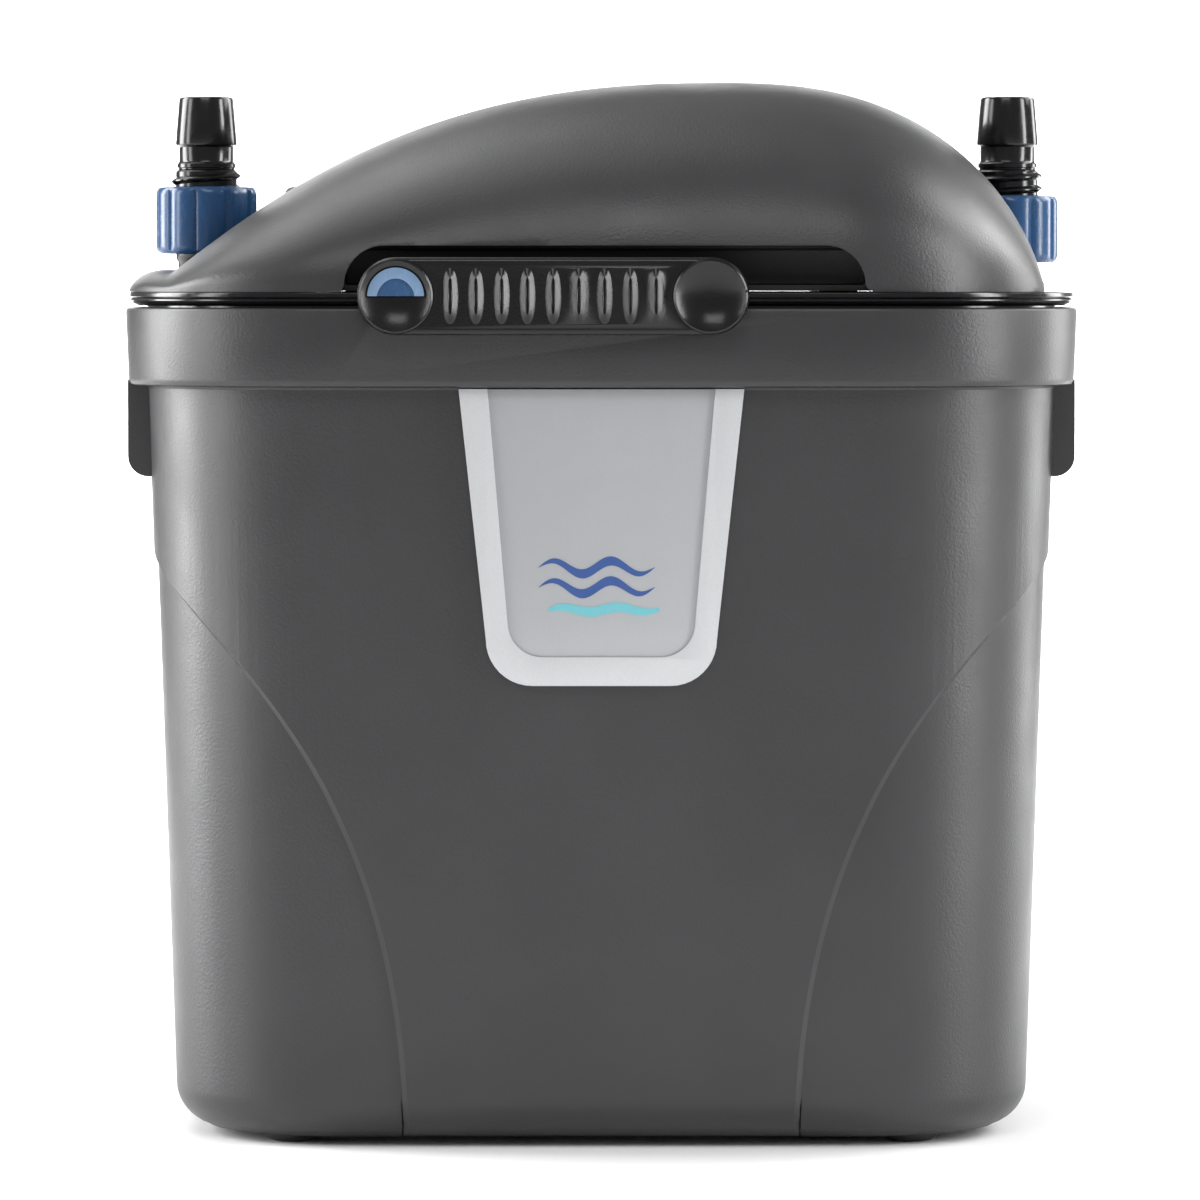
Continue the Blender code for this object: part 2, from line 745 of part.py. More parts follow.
def make_handle(parent, bottom, plastic):
    """The bar across the upper basket that it is lifted by. It stands between the basket walls."""
    half = RIM_DEPTH / 2 - tray_inset(bottom) - TRAY_WALL - GAP
    top = bottom + UPPER_TRAY_HEIGHT
    drop = 0.0060
    x = -HANDLE_THICK * 2
    outline = [
        (-half, top - drop),
        (-half + HANDLE_THICK, top - drop),
        (-half + HANDLE_THICK + 0.004, top + HANDLE_HEIGHT - HANDLE_THICK),
        (half - HANDLE_THICK - 0.004, top + HANDLE_HEIGHT - HANDLE_THICK),
        (half - HANDLE_THICK, top - drop),
        (half, top - drop),
        (half, top),
        (half - 0.004, top + HANDLE_HEIGHT),
        (-half + 0.004, top + HANDLE_HEIGHT),
        (-half, top),
    ]
    prism(outline, x - 0.005, x + 0.005, "basket_handle", plastic, parent=parent, along="X")


def make_baskets(plastic, coarse, fine, floss, lower_lift, upper_lift):
    make_basket("lower", LOWER_TRAY_BOTTOM, LOWER_TRAY_HEIGHT, plastic, lower_lift)
    low = LOWER_TRAY_BOTTOM + TRAY_FLOOR + GAP
    make_media("coarse_foam", LOWER_TRAY_BOTTOM, low, COARSE_THICK, coarse, lower_lift)
    make_basket("upper", UPPER_TRAY_BOTTOM, UPPER_TRAY_HEIGHT, plastic, upper_lift)
    low = UPPER_TRAY_BOTTOM + TRAY_FLOOR + GAP
    make_media("fine_foam", UPPER_TRAY_BOTTOM, low, FINE_THICK, fine, upper_lift)
    low += FINE_THICK + GAP
    make_media("polishing_pad", UPPER_TRAY_BOTTOM, low, PAD_THICK, floss, upper_lift)
    make_handle(upper_lift, UPPER_TRAY_BOTTOM, plastic)


# Head: lid plate, hood and pump


def make_lid_plate(plastic, head):
    """The plate that closes the canister, its plug wall below and the rotor well above."""
    plug = RIM_LIP + PLUG_CLEAR
    rings = [
        (plug, PLATE_BOTTOM - PLUG_DROP),
        (plug, PLATE_BOTTOM),
        (PLATE_INSET + PLATE_CHAMFER, PLATE_BOTTOM),
        (PLATE_INSET, PLATE_BOTTOM + PLATE_CHAMFER / 2),
        (PLATE_INSET, PLATE_TOP),
    ]
    plate = lofted([rim_ring(inset, z) for inset, z in rings], "lid_plate", plastic, parent=head)
    hollow = [rim_ring(plug + PLUG_WALL, z) for z in (PLATE_BOTTOM - PLUG_DROP - 0.001, PLATE_BOTTOM)]
    cut(plate, lofted(hollow, "plug_hollow"))
    well = WELL_OUTER - WELL_WALL
    top = PLATE_TOP + WELL_HEIGHT
    fuse(plate, cylinder(WELL_OUTER, PLATE_BOTTOM + 0.001, top, "well_wall", at=(PUMP_X, 0.0, 0.0)))
    cut(
        plate,
        cylinder(well, PLATE_BOTTOM - 0.001, top - WELL_WALL, "well_bore", at=(PUMP_X, 0.0, 0.0)),
    )
    for name, x in (("inlet_hole", INLET_X), ("outlet_hole", OUTLET_X)):
        cut(plate, cylinder(HOSE_BORE, PLATE_BOTTOM - 0.001, PLATE_TOP + 0.001, name,
                            at=(x, PORT_Y, 0.0)))
    for name, x, y in screw_places():
        cut(
            plate,
            cylinder(
                SCREW_SHANK + RUNNING,
                PLATE_BOTTOM - 0.001,
                PLATE_TOP + 0.001,
                f"{name}_plate_hole",
                at=(x, y, 0.0),
                steps=12,
            ),
        )


def make_head_seal(rubber, head):
    low = SEAL_SHELF + GAP
    high = PLATE_BOTTOM - PLUG_DROP - GAP
    outer = RIM_LIP + GAP
    inner = outer + SEAL_WIDTH
    rings = [(outer, low), (outer, high), (inner, high), (inner, low)]
    lofted([rim_ring(inset, z) for inset, z in rings], "head_seal", rubber, parent=head, closed=True)


def hood_height(x, left, right, rise):
    """Height of the hood's crest above its base: a long slope on the left, a short one on the
    right, and a low deck at the left end."""
    peak = HOOD_PEAK_X
    if x >= peak:
        share = min((x - peak) / (right - peak), 1.0)
        return rise * (1 - share**HOOD_END_POWER) ** (1 / HOOD_END_ROUND)
    toe = left + TOE_LENGTH
    slope = rise - (rise - HOOD_DECK * 0.95) * ((peak - x) / (peak - toe)) ** HOOD_SLOPE_POWER
    deck = HOOD_DECK * math.sqrt(max(1 - (1 - min((x - left) / TOE_ROUND, 1.0)) ** 2, 0.0))
    return max(slope if x > toe else 0.0, deck)


def hood_half_depth(x, left, right, half, corner):
    """Half the hood's depth at x: a rounded rectangle in plan."""
    in_corner = max(left + corner - x, x - (right - corner), 0.0)
    return half - corner + math.sqrt(max(corner**2 - in_corner**2, 0.0))


def dome(inset, base, name, finish=None, parent=None):
    """The hood's outer form moved in by inset all round, as a closed solid on a flat base."""
    left, right = HOOD_LEFT + inset, HOOD_RIGHT - inset
    half, corner = HOOD_HALF_DEPTH - inset, RIM_CORNER - inset
    columns, rows = 28, 16
    sections = []
    for column in range(columns + 1):
        x = (left + right) / 2 - math.cos(math.pi * column / columns) * (right - left) / 2
        deep = hood_half_depth(x, left, right, half, corner)
        crest = hood_height(x, left, right, HOOD_RISE - inset)
        at_end = column in (0, columns)
        section = []
        for row in range(rows + 1):
            angle = math.pi * row / rows
            y = -math.copysign(abs(math.cos(angle)) ** 0.9, math.cos(angle)) * deep
            up = max(1 - (abs(y) / deep) ** HOOD_DEPTH_POWER, 0.0) ** (1 / HOOD_DEPTH_POWER)
            on_base = at_end or row in (0, rows)
            section.append((x, y, base if on_base else HOOD_BASE + crest * up))
        sections.append(section)
    bm = bmesh.new()
    grid = [[bm.verts.new(point) for point in section] for section in sections]
    for near, far in zip(grid, grid[1:]):
        for row in range(rows):
            bm.faces.new((near[row], far[row], far[row + 1], near[row + 1]))
    for near, far in zip(grid, grid[1:]):
        near_line = near if near is grid[0] else (near[0], near[-1])
        far_line = far if far is grid[-1] else (far[0], far[-1])
        bm.faces.new((*near_line, *reversed(far_line)))
    return to_object(bm, name, finish, parent=parent)


def screw_places():
    return [
        (f"hood_screw_{end}_{side}", x, y)
        for end, y in (("front", -SCREW_Y), ("rear", SCREW_Y))
        for side, x in (("left", -SCREW_X), ("right", SCREW_X))
    ]


def bay(name, x, radius, floor):
    """The space for a hose connector: round inside, open to the end and to the rear."""
    out = math.copysign(0.04, x)
    outline = [(x + out, PORT_Y - radius), (x, PORT_Y - radius)]
    turn = -math.copysign(1.0, x)
    for step in range(1, 9):
        angle = -math.pi / 2 + math.pi / 2 * step / 8
        outline.append((x + turn * radius * math.cos(angle), PORT_Y + radius * math.sin(angle)))
    outline += [(x + turn * radius, PORT_Y + 0.06), (x + out, PORT_Y + 0.06)]
    return prism(outline, floor, HOOD_BASE + HOOD_RISE + 0.01, name)


def make_hood(plastic, head):
    """The domed cover: a shell with a bay for each connector, a window at the front for the
    slide lock, four screw bosses and a block for the cable gland."""
    hood = dome(0.0, HOOD_BASE, "hood", plastic, head)
    gland_block = block(
        (GLAND_X - GLAND_BOSS_HALF, GLAND_BOSS_REAR - GLAND_BOSS_DEPTH, HOOD_BASE + 0.004),
        (GLAND_X + GLAND_BOSS_HALF, GLAND_BOSS_REAR, HOOD_BASE + GLAND_BOSS_TOP),
        "gland_block",
        bevel=0.0015,
    )
    fuse(hood, gland_block)
    hollow = dome(HOOD_WALL, HOOD_BASE - 0.001, "hood_hollow")
    for side, x in (("left", INLET_X), ("right", OUTLET_X)):
        cut(hood, bay(f"{side}_bay", x, BAY_RADIUS, HOOD_BASE + HOOD_DECK))
        cut(hollow, bay(f"{side}_bay_wall", x, BAY_RADIUS + HOOD_WALL,
                        HOOD_BASE + HOOD_DECK - HOOD_WALL))
    for name, x, y in screw_places():
        boss = cylinder(BOSS_RADIUS, HOOD_BASE - 0.002, HOOD_BASE + HOOD_RISE, f"{name}_boss",
                        at=(x, y, 0.0), steps=12)
        cut(hollow, boss)
    cut(hood, hollow)
    for side, x in (("left", INLET_X), ("right", OUTLET_X)):
        hole = TAIL_FLANGE + GAP
        cut(hood, cylinder(hole, HOOD_BASE - 0.001, HOOD_BASE + HOOD_DECK + 0.001,
                           f"{side}_port_hole", at=(x, PORT_Y, 0.0)))
    for name, x, y in screw_places():
        cut(hood, cylinder(SCREW_SHANK + RUNNING, HOOD_BASE - 0.001, HOOD_BASE + SCREW_LENGTH,
                           f"{name}_boss_hole", at=(x, y, 0.0), steps=12))
    cut(hood, cylinder(GLAND_BORE + GAP, GLAND_BOSS_REAR - GLAND_BOSS_DEPTH - 0.010,
                       GLAND_BOSS_REAR + 0.001, "cable_hole",
                       at=(GLAND_X, 0.0, GLAND_Z), along="Y", steps=16))
    cut(hood, window_cutter())


def window_cutter():
    """The opening in the front of the hood, from its lower edge up, with rounded upper corners."""
    low, high = HOOD_BASE - 0.002, HOOD_BASE + WINDOW_HEIGHT
    outline = [(WINDOW_LEFT, low), (WINDOW_RIGHT, low)]
    for middle, start in (
        (WINDOW_RIGHT - WINDOW_CORNER, 0.0),
        (WINDOW_LEFT + WINDOW_CORNER, math.pi / 2),
    ):
        for step in range(6):
            angle = start + math.pi / 2 * step / 5
            outline.append(
                (
                    middle + WINDOW_CORNER * math.cos(angle),
                    high - WINDOW_CORNER + WINDOW_CORNER * math.sin(angle),
                )
            )
    return prism(outline, -RIM_DEPTH, CHANNEL_FRONT + WINDOW_REACH, "window_cutter", along="Y")


def make_latch_channel(plastic, head):
    """The black guide behind the window, which the slide's tongue runs in."""
    low = (WINDOW_LEFT - CHANNEL_WALL, CHANNEL_FRONT, HOOD_BASE)
    high = (
        WINDOW_RIGHT + CHANNEL_WALL,
        CHANNEL_FRONT + CHANNEL_DEPTH,
        HOOD_BASE + WINDOW_HEIGHT + 2 * GAP,
    )
    channel = block(low, high, "latch_channel", plastic, parent=head)
    wall = Vector((CHANNEL_WALL, CHANNEL_WALL, CHANNEL_WALL))
    inside_low = Vector(low) + Vector((CHANNEL_WALL, -0.002, CHANNEL_WALL))
    inside_high = Vector(high) - wall
    cut(channel, block(inside_low, inside_high, "channel_hollow"))
    trimmed = dome(HOOD_WALL + GAP, HOOD_BASE - 0.001, "channel_trim")
    boolean(channel, trimmed, "INTERSECT")


def make_screws(steel, head):
    for name, x, y in screw_places():
        low = PLATE_BOTTOM - GAP - SCREW_HEAD_HEIGHT
        profile = [
            (0.0, low),
            (SCREW_HEAD * 0.8, low),
            (SCREW_HEAD, low + SCREW_HEAD_HEIGHT / 2),
            (SCREW_HEAD, low + SCREW_HEAD_HEIGHT),
            (SCREW_SHANK, low + SCREW_HEAD_HEIGHT),
            (SCREW_SHANK, low + SCREW_HEAD_HEIGHT + SCREW_LENGTH - 0.001),
            (0.0, low + SCREW_HEAD_HEIGHT + SCREW_LENGTH),
        ]
        screw = turned(profile, name, steel, at=(x, y, 0.0), parent=head, steps=12)
        cut(screw, block((x - 0.0018, y - 0.0004, low - 0.001), (x + 0.0018, y + 0.0004, low + 0.0009),
                         f"{name}_slot"))


def make_cable_gland(rubber, head):
    """The collar that the mains lead leaves the hood through."""
    low = GLAND_BOSS_REAR + GAP
    high = -SLIDE_FRONT
    profile = [
        (GLAND_BORE, low),
        (GLAND_RADIUS + 0.0012, low),
        (GLAND_RADIUS + 0.0012, low + 0.0022),
        (GLAND_RADIUS, low + 0.0028),
        (GLAND_RADIUS * 0.9, high),
        (GLAND_BORE, high),
    ]
    gland = turned(profile, "cable_gland", rubber, at=(GLAND_X, 0.0, GLAND_Z), parent=head, steps=20)
    gland.rotation_euler = (-math.pi / 2, 0.0, 0.0)


def make_stator(steel, copper, head):
    """The motor's fixed half: a laminated core round the rotor well, with a coil on each arm."""
    low = PLATE_TOP + CORE_UP
    high = low + CORE_HEIGHT
    well = WELL_OUTER + GAP
    right = PUMP_X + well + POLE_END
    yoke = PUMP_X - well - COIL_LENGTH - COIL_CLEAR
    left = yoke - CORE_YOKE
    inner = PUMP_X - well + POLE_LIP
    outline = [
        (left, -CORE_HALF),
        (right, -CORE_HALF),
        (right, -POLE_GAP / 2),
        (inner, -POLE_GAP / 2),
        (inner, -CORE_HALF + CORE_ARM),
        (yoke, -CORE_HALF + CORE_ARM),
        (yoke, CORE_HALF - CORE_ARM),
        (inner, CORE_HALF - CORE_ARM),
        (inner, POLE_GAP / 2),
        (right, POLE_GAP / 2),
        (right, CORE_HALF),
        (left, CORE_HALF),
    ]
    core = prism(outline, low, high, "stator_core", steel, parent=head)
    cut(core, cylinder(well, low - 0.001, high + 0.001, "core_bore", at=(PUMP_X, 0.0, 0.0), steps=28))
    for name, middle in (("front", -1), ("rear", 1)):
        y = middle * (CORE_HALF - CORE_ARM / 2)
        half = CORE_ARM / 2 + GAP
        start = yoke + GAP
        coil = block(
            (start, y - half - COIL_WALL, low - GAP - COIL_WALL),
            (start + COIL_LENGTH, y + half + COIL_WALL, high + GAP + COIL_WALL),
            f"stator_coil_{name}",
            copper,
            parent=head,
            bevel=0.0010,
        )
        cut(
            coil,
            block(
                (start - 0.001, y - half, low - GAP),
                (start + COIL_LENGTH + 0.001, y + half, high + GAP),
                f"{name}_coil_hole",
            ),
        )


def make_pump(plastic, head):
    """The volute below the plate: an open-topped cup with inlet holes in its floor, an outlet in
    its side, and the screen that keeps media out."""
    top = PLATE_BOTTOM - GAP
    inside = PUMP_RADIUS - PUMP_WALL
    floor = PUMP_BOTTOM + PUMP_FLOOR
    profile = [
        (0.0, PUMP_BOTTOM),
        (PUMP_RADIUS, PUMP_BOTTOM),
        (PUMP_RADIUS, top),
        (inside, top),
        (inside, floor),
        (BUSH_RADIUS + 0.0016, floor),
        (BUSH_RADIUS + 0.0016, floor + BUSH_HEIGHT),
        (BUSH_RADIUS + GAP, floor + BUSH_HEIGHT),
        (BUSH_RADIUS + GAP, floor),
        (0.0, floor),
    ]
    housing = turned(profile, "pump_housing", plastic, at=(PUMP_X, 0.0, 0.0), parent=head, steps=32)
    for hole in range(6):
        angle = math.pi / 3 * hole
        x = PUMP_X + PUMP_INLET_CIRCLE * math.cos(angle)
        y = PUMP_INLET_CIRCLE * math.sin(angle)
        cut(housing, cylinder(PUMP_INLET_RADIUS, PUMP_BOTTOM - 0.001, floor + 0.001, f"pump_inlet_{hole}",
                              at=(x, y, 0.0), steps=12))
    low, high = duct_heights()
    cut(
        housing,
        block(
            (PUMP_X + inside * 0.4, PORT_Y - DUCT_FRONT + DUCT_WALL, low + DUCT_WALL),
            (PUMP_X + PUMP_RADIUS + 0.01, PORT_Y - DUCT_FRONT + DUCT_WIDTH - DUCT_WALL, high - DUCT_WALL),
            "pump_outlet",
        ),
    )
    make_screen(plastic, head)


def make_screen(plastic, head):
    high = PUMP_BOTTOM - GAP
    low = high - SCREEN_HEIGHT
    profile = [
        (0.0, low),
        (SCREEN_RADIUS - 0.002, low),
        (SCREEN_RADIUS, low + 0.002),
        (SCREEN_RADIUS, high),
        (SCREEN_RADIUS - SCREEN_WALL, high),
        (SCREEN_RADIUS - SCREEN_WALL, low + SCREEN_WALL),
        (0.0, low + SCREEN_WALL),
    ]
    screen = turned(profile, "intake_screen", plastic, at=(PUMP_X, 0.0, 0.0), parent=head, steps=28)
    for slot in range(SCREEN_SLOTS):
        y = (slot - (SCREEN_SLOTS - 1) / 2) * SCREEN_PITCH
        half = math.sqrt((SCREEN_RADIUS - 0.004) ** 2 - y**2)
        cut(
            screen,
            block(
                (PUMP_X - half, y - SCREEN_SLOT / 2, low - 0.001),
                (PUMP_X + half, y + SCREEN_SLOT / 2, low + 0.0030),
                f"screen_slot_{slot}",
            ),
        )


def duct_heights():
    high = PLATE_BOTTOM - GAP
    return high - DUCT_HEIGHT, high


def make_outlet_duct(plastic, head):
    """The box pipe from the volute to the outlet connector, under the plate."""
    low, high = duct_heights()
    edge = RIM_LIP + PLUG_CLEAR + PLUG_WALL + 2 * GAP
    front = PORT_Y - DUCT_FRONT
    start = PUMP_X + math.sqrt(PUMP_RADIUS**2 - front**2) + GAP
    right = RIM_WIDTH / 2 - edge
    half = (right - OUTLET_X) - DUCT_WALL
    outline = [
        (start, front),
        (right - DUCT_TURN, front),
        (right, front + DUCT_TURN),
        (right, PORT_Y + DUCT_REAR),
        (OUTLET_X - DUCT_REAR, PORT_Y + DUCT_REAR),
        (OUTLET_X - DUCT_REAR - DUCT_SLANT, front + DUCT_WIDTH),
        (start, front + DUCT_WIDTH),
    ]
    duct = prism(outline, low, high, "outlet_duct", plastic, parent=head)
    inside = [
        (start - 0.002, front + DUCT_WALL),
        (right - DUCT_TURN - 0.0005, front + DUCT_WALL),
        (right - DUCT_WALL, front + DUCT_TURN + 0.0005),
        (right - DUCT_WALL, PORT_Y + half),
        (OUTLET_X - DUCT_REAR + 0.0005, PORT_Y + half),
        (OUTLET_X - DUCT_REAR - DUCT_SLANT + 0.0005, front + DUCT_WIDTH - DUCT_WALL),
        (start - 0.002, front + DUCT_WIDTH - DUCT_WALL),
    ]
    cut(duct, prism(inside, low + DUCT_WALL, high - DUCT_WALL, "duct_hollow"))
    cut(duct, cylinder(HOSE_BORE - 0.0004, high - DUCT_WALL - 0.001, high + 0.001, "duct_mouth",
                       at=(OUTLET_X, PORT_Y, 0.0)))


def make_inlet_duct(plastic, head):
    """The elbow from the inlet connector down to the downpipe, a little further in."""
    high = PLATE_BOTTOM - GAP
    low = high - ELBOW_DROP

    def pipe(radius, name, finish=None, parent=None, over=0.0):
        rings = []
        for share, z in ((0.0, high + over), (0.25, high - 0.006), (0.8, low + 0.006), (1.0, low - over)):
            x = INLET_X + (PIPE_X - INLET_X) * share
            rings.append(
                [
                    (
                        x + radius * math.cos(2 * math.pi * step / 24),
                        PORT_Y + radius * math.sin(2 * math.pi * step / 24),
                        z,
                    )
                    for step in range(24)
                ]
            )
        return lofted(rings, name, finish, parent=parent)

    duct = pipe(PIPE_RADIUS, "inlet_duct", plastic, head)
    cut(duct, pipe(PIPE_RADIUS - PIPE_WALL, "inlet_duct_bore", over=0.001))


def make_hose_tail(name, x, plastic, head):
    """A connector: flange on the plate, threaded spigot and a cone that the hose pushes over."""
    low = TAIL_BOTTOM
    high = low + TAIL_HEIGHT
    cone = high - CONE_HEIGHT
    neck = cone - NECK_HEIGHT
    thread_top = neck - 0.0030
    profile = [
        (HOSE_BORE, low),
        (TAIL_FLANGE, low),
        (TAIL_FLANGE, low + TAIL_FLANGE_THICK),
        (SPIGOT_RADIUS, low + TAIL_FLANGE_THICK),
        (SPIGOT_RADIUS, thread_top - THREAD_LENGTH),
        (THREAD_RADIUS, thread_top - THREAD_LENGTH + 0.0010),
        (THREAD_RADIUS, thread_top - 0.0010),
        (SPIGOT_RADIUS, thread_top),
        (SPIGOT_RADIUS, neck),
        (NECK_RADIUS, neck + 0.0003),
        (NECK_RADIUS, cone - 0.0006),
        (CONE_RADIUS, cone),
        (CONE_TOP_RADIUS, high),
        (HOSE_BORE, high),
    ]
    turned(profile, name, plastic, at=(x, PORT_Y, 0.0), parent=head)


def make_union_nut(side, x, up, blue, black, ring_axis, nut_axis):
    """A fluted nut with a lip inside its top, and the clamp ring that the lip pushes up."""
    low = TAIL_BOTTOM + up
    high = low + NUT_HEIGHT
    bore = NUT_RADIUS - NUT_WALL
    lip = THREAD_RADIUS + RUNNING
    top = high - NUT_LIP
    rings = []
    flutes = [
        NUT_RADIUS - 0.0005 * (1 - math.cos(2 * math.pi * step / 4)) / 2 for step in range(NUT_FLUTES * 4)
    ]
    for share, z in ((0.93, low), (1.0, low + 0.0012), (1.0, high - 0.0012), (0.93, high)):
        rings.append(
            [
                (
                    radius * share * math.cos(2 * math.pi * step / len(flutes)),
                    radius * share * math.sin(2 * math.pi * step / len(flutes)),
                    z,
                )
                for step, radius in enumerate(flutes)
            ]
        )
    nut = lofted(rings, f"{side}_union_nut", blue, at=(x, PORT_Y, 0.0), parent=nut_axis)
    cut(nut, cylinder(bore, low - 0.001, top, f"{side}_nut_bore", at=(x, PORT_Y, 0.0)))
    cut(nut, cylinder(lip, top - 0.001, high + 0.001, f"{side}_nut_lip", at=(x, PORT_Y, 0.0)))
    ring_high = top - GAP
    ring_low = ring_high - CLAMP_RING_HEIGHT
    profile = [(lip, ring_low), (bore - RUNNING, ring_low), (bore - RUNNING, ring_high), (lip, ring_high)]
    turned(profile, f"{side}_clamp_ring", black, at=(x, PORT_Y, 0.0), parent=ring_axis)


# Rotor


def make_rotor(plastic, magnet, ceramic, rubber, head, spin):
    """The impeller and its magnet on a fixed ceramic shaft between two bushes."""
    at = (PUMP_X, 0.0, 0.0)
    floor = PUMP_BOTTOM + PUMP_FLOOR
    shaft_low = floor + GAP
    shaft_high = PLATE_TOP + WELL_HEIGHT - WELL_WALL - GAP
    cylinder(SHAFT_RADIUS, shaft_low, shaft_high, "pump_shaft", ceramic, at=at, parent=head, steps=16)
    bore = SHAFT_RADIUS + RUNNING
    for name, low in (("shaft_bush_lower", shaft_low), ("shaft_bush_upper", shaft_high - BUSH_HEIGHT)):
        high = low + BUSH_HEIGHT
        profile = [(bore, low), (BUSH_RADIUS, low), (BUSH_RADIUS, high), (bore, high)]
        turned(profile, name, rubber, at=at, parent=head, steps=16)
    magnet_high = shaft_high - BUSH_HEIGHT - IMPELLER_CLEAR
    magnet_low = magnet_high - ROTOR_HEIGHT
    profile = [
        (bore, magnet_low),
        (ROTOR_RADIUS, magnet_low),
        (ROTOR_RADIUS, magnet_high),
        (bore, magnet_high),
    ]
    turned(profile, "rotor_magnet", magnet, at=at, parent=spin)
    hub_high = magnet_low - GAP
    hub_low = floor + BUSH_HEIGHT + IMPELLER_CLEAR
    profile = [(bore, hub_low), (IMPELLER_HUB, hub_low), (IMPELLER_HUB, hub_high), (bore, hub_high)]
    impeller = turned(profile, "impeller", plastic, at=at, parent=spin, steps=20)
    for blade in range(BLADES):
        wing = block(
            (IMPELLER_HUB - 0.001, -BLADE_THICK / 2, hub_low),
            (IMPELLER_RADIUS, BLADE_THICK / 2, hub_low + BLADE_HEIGHT),
            f"blade_{blade}",
            at=at,
        )
        wing.rotation_euler = (0.0, 0.0, 2 * math.pi * blade / BLADES)
        fuse(impeller, wing)


# Slide lock


def stadium(left, right, steps=8):
    """The slide's outline (x, z): straight above and below, round at both ends."""
    points = []
    for middle, start in ((right - SLIDE_END, -math.pi / 2), (left + SLIDE_END, math.pi / 2)):
        for step in range(steps + 1):
            angle = start + math.pi * step / steps
            points.append((middle + SLIDE_END * math.cos(angle), SLIDE_MID + SLIDE_END * math.sin(angle)))
    return points


def half_disc(radius, grow=0.0, steps=10):
    """The button's outline (x, z): flat below, round above. Grow adds to it all round."""
    points = [(DISH_LEFT_X - radius - grow, SLIDE_MID - grow), (DISH_LEFT_X + radius + grow, SLIDE_MID - grow)]
    for step in range(steps + 1):
        angle = math.pi * step / steps
        points.append(
            (
                DISH_LEFT_X + (radius + grow) * math.cos(angle),
                SLIDE_MID + (radius + grow) * math.sin(angle) + 1e-5,
            )
        )
    return points


def make_slide(black, slider):
    slide = prism(stadium(SLIDE_LEFT, SLIDE_RIGHT), SLIDE_BACK, SLIDE_FRONT, "lock_slide", black,
                  parent=slider, along="Y")
    channel_middle = HOOD_BASE + CHANNEL_WALL + (WINDOW_HEIGHT - 2 * CHANNEL_WALL) / 2
    tongue = block(
        (SLIDE_LEFT + SLIDE_END, SLIDE_BACK - 0.001, channel_middle - TONGUE_HEIGHT / 2),
        (
            WINDOW_RIGHT - WINDOW_CORNER - SLIDE_TRAVEL - 0.001,
            CHANNEL_FRONT + CHANNEL_DEPTH - CHANNEL_WALL - 0.0010,
            SLIDE_TOP - 0.0012,
        ),
        "slide_tongue",
    )
    fuse(slide, tongue)
    ball = (DISH_RADIUS**2 + DISH_DEPTH**2) / (2 * DISH_DEPTH)
    for name, x in (("left_dish", DISH_LEFT_X), ("right_dish", DISH_RIGHT_X)):
        cut(slide, dish_cutter(name, x, ball))
    for rib in range(RIB_COUNT):
        x = (SLIDE_LEFT + SLIDE_RIGHT) / 2 + (rib - (RIB_COUNT - 1) / 2) * RIB_PITCH
        cut(
            slide,
            block(
                (x - RIB_SLOT / 2, SLIDE_FRONT - 0.001, SLIDE_MID - RIB_HEIGHT / 2),
                (x + RIB_SLOT / 2, SLIDE_FRONT + RIB_SLOT_DEPTH, SLIDE_MID + RIB_HEIGHT / 2),
                f"rib_slot_{rib}",
            ),
        )
    pocket = half_disc(BUTTON_RADIUS, RUNNING)
    cut(slide, prism(pocket, SLIDE_FRONT - 0.001, SLIDE_BACK - POCKET_FLOOR, "button_pocket", along="Y"))


def dish_cutter(name, x, ball):
    """A shallow lens that dishes the slide's face: turned from an arc of a large circle."""
    steps = 5
    reach = DISH_RADIUS * 0.97
    profile = [(0.0, -0.002), (reach, -0.002)]
    for step in range(steps + 1):
        radius = reach * (1 - step / steps)
        depth = math.sqrt(ball**2 - radius**2) - (ball - DISH_DEPTH)
        profile.append((radius, depth))
    cutter = turned(profile, name, at=(x, SLIDE_FRONT, SLIDE_MID), steps=20)
    cutter.rotation_euler = (-math.pi / 2, 0.0, 0.0)
    return cutter


def make_hooks(black, slider):
    """The hooks behind the slide, which reach down into the slot in the rim."""
    for side, x in zip(("left", "right"), HOOK_XS):
        y = SLIDE_BACK + GAP
        outline = [
            (y, HOOK_TOP),
            (y, HOOK_BOTTOM),
            (y + HOOK_THICK, HOOK_BOTTOM),
            (y + HOOK_THICK + HOOK_BARB, HOOK_BOTTOM + HOOK_BARB),
            (y + HOOK_THICK, HOOK_BOTTOM + 2 * HOOK_BARB),
            (y + HOOK_THICK, HOOK_TOP),
        ]
        prism(outline, x - HOOK_WIDTH / 2, x + HOOK_WIDTH / 2, f"slide_hook_{side}", black,
              parent=slider, along="X")


def make_button(blue, steel, presser, slider):
    """The release button and the bowed leaf spring behind it."""
    front = SLIDE_FRONT + BUTTON_SUNK
    prism(half_disc(BUTTON_RADIUS), front, front + BUTTON_THICK, "lock_button", blue,
          parent=presser, along="Y")
    low = front + BUTTON_THICK + GAP
    high = SLIDE_BACK - POCKET_FLOOR - GAP
    near = []
    for step in range(LEAF_STEPS + 1):
        share = 2 * step / LEAF_STEPS - 1
        near.append((DISH_LEFT_X + LEAF_HALF_LENGTH * share, low + (high - low - LEAF_THICK) * share**2))
    far = [(x, y + LEAF_THICK) for x, y in reversed(near)]
    middle = SLIDE_MID + BUTTON_RADIUS * LEAF_UP
    prism(near + far, middle - LEAF_HALF_WIDTH, middle + LEAF_HALF_WIDTH, "button_spring", steel,
          parent=slider)


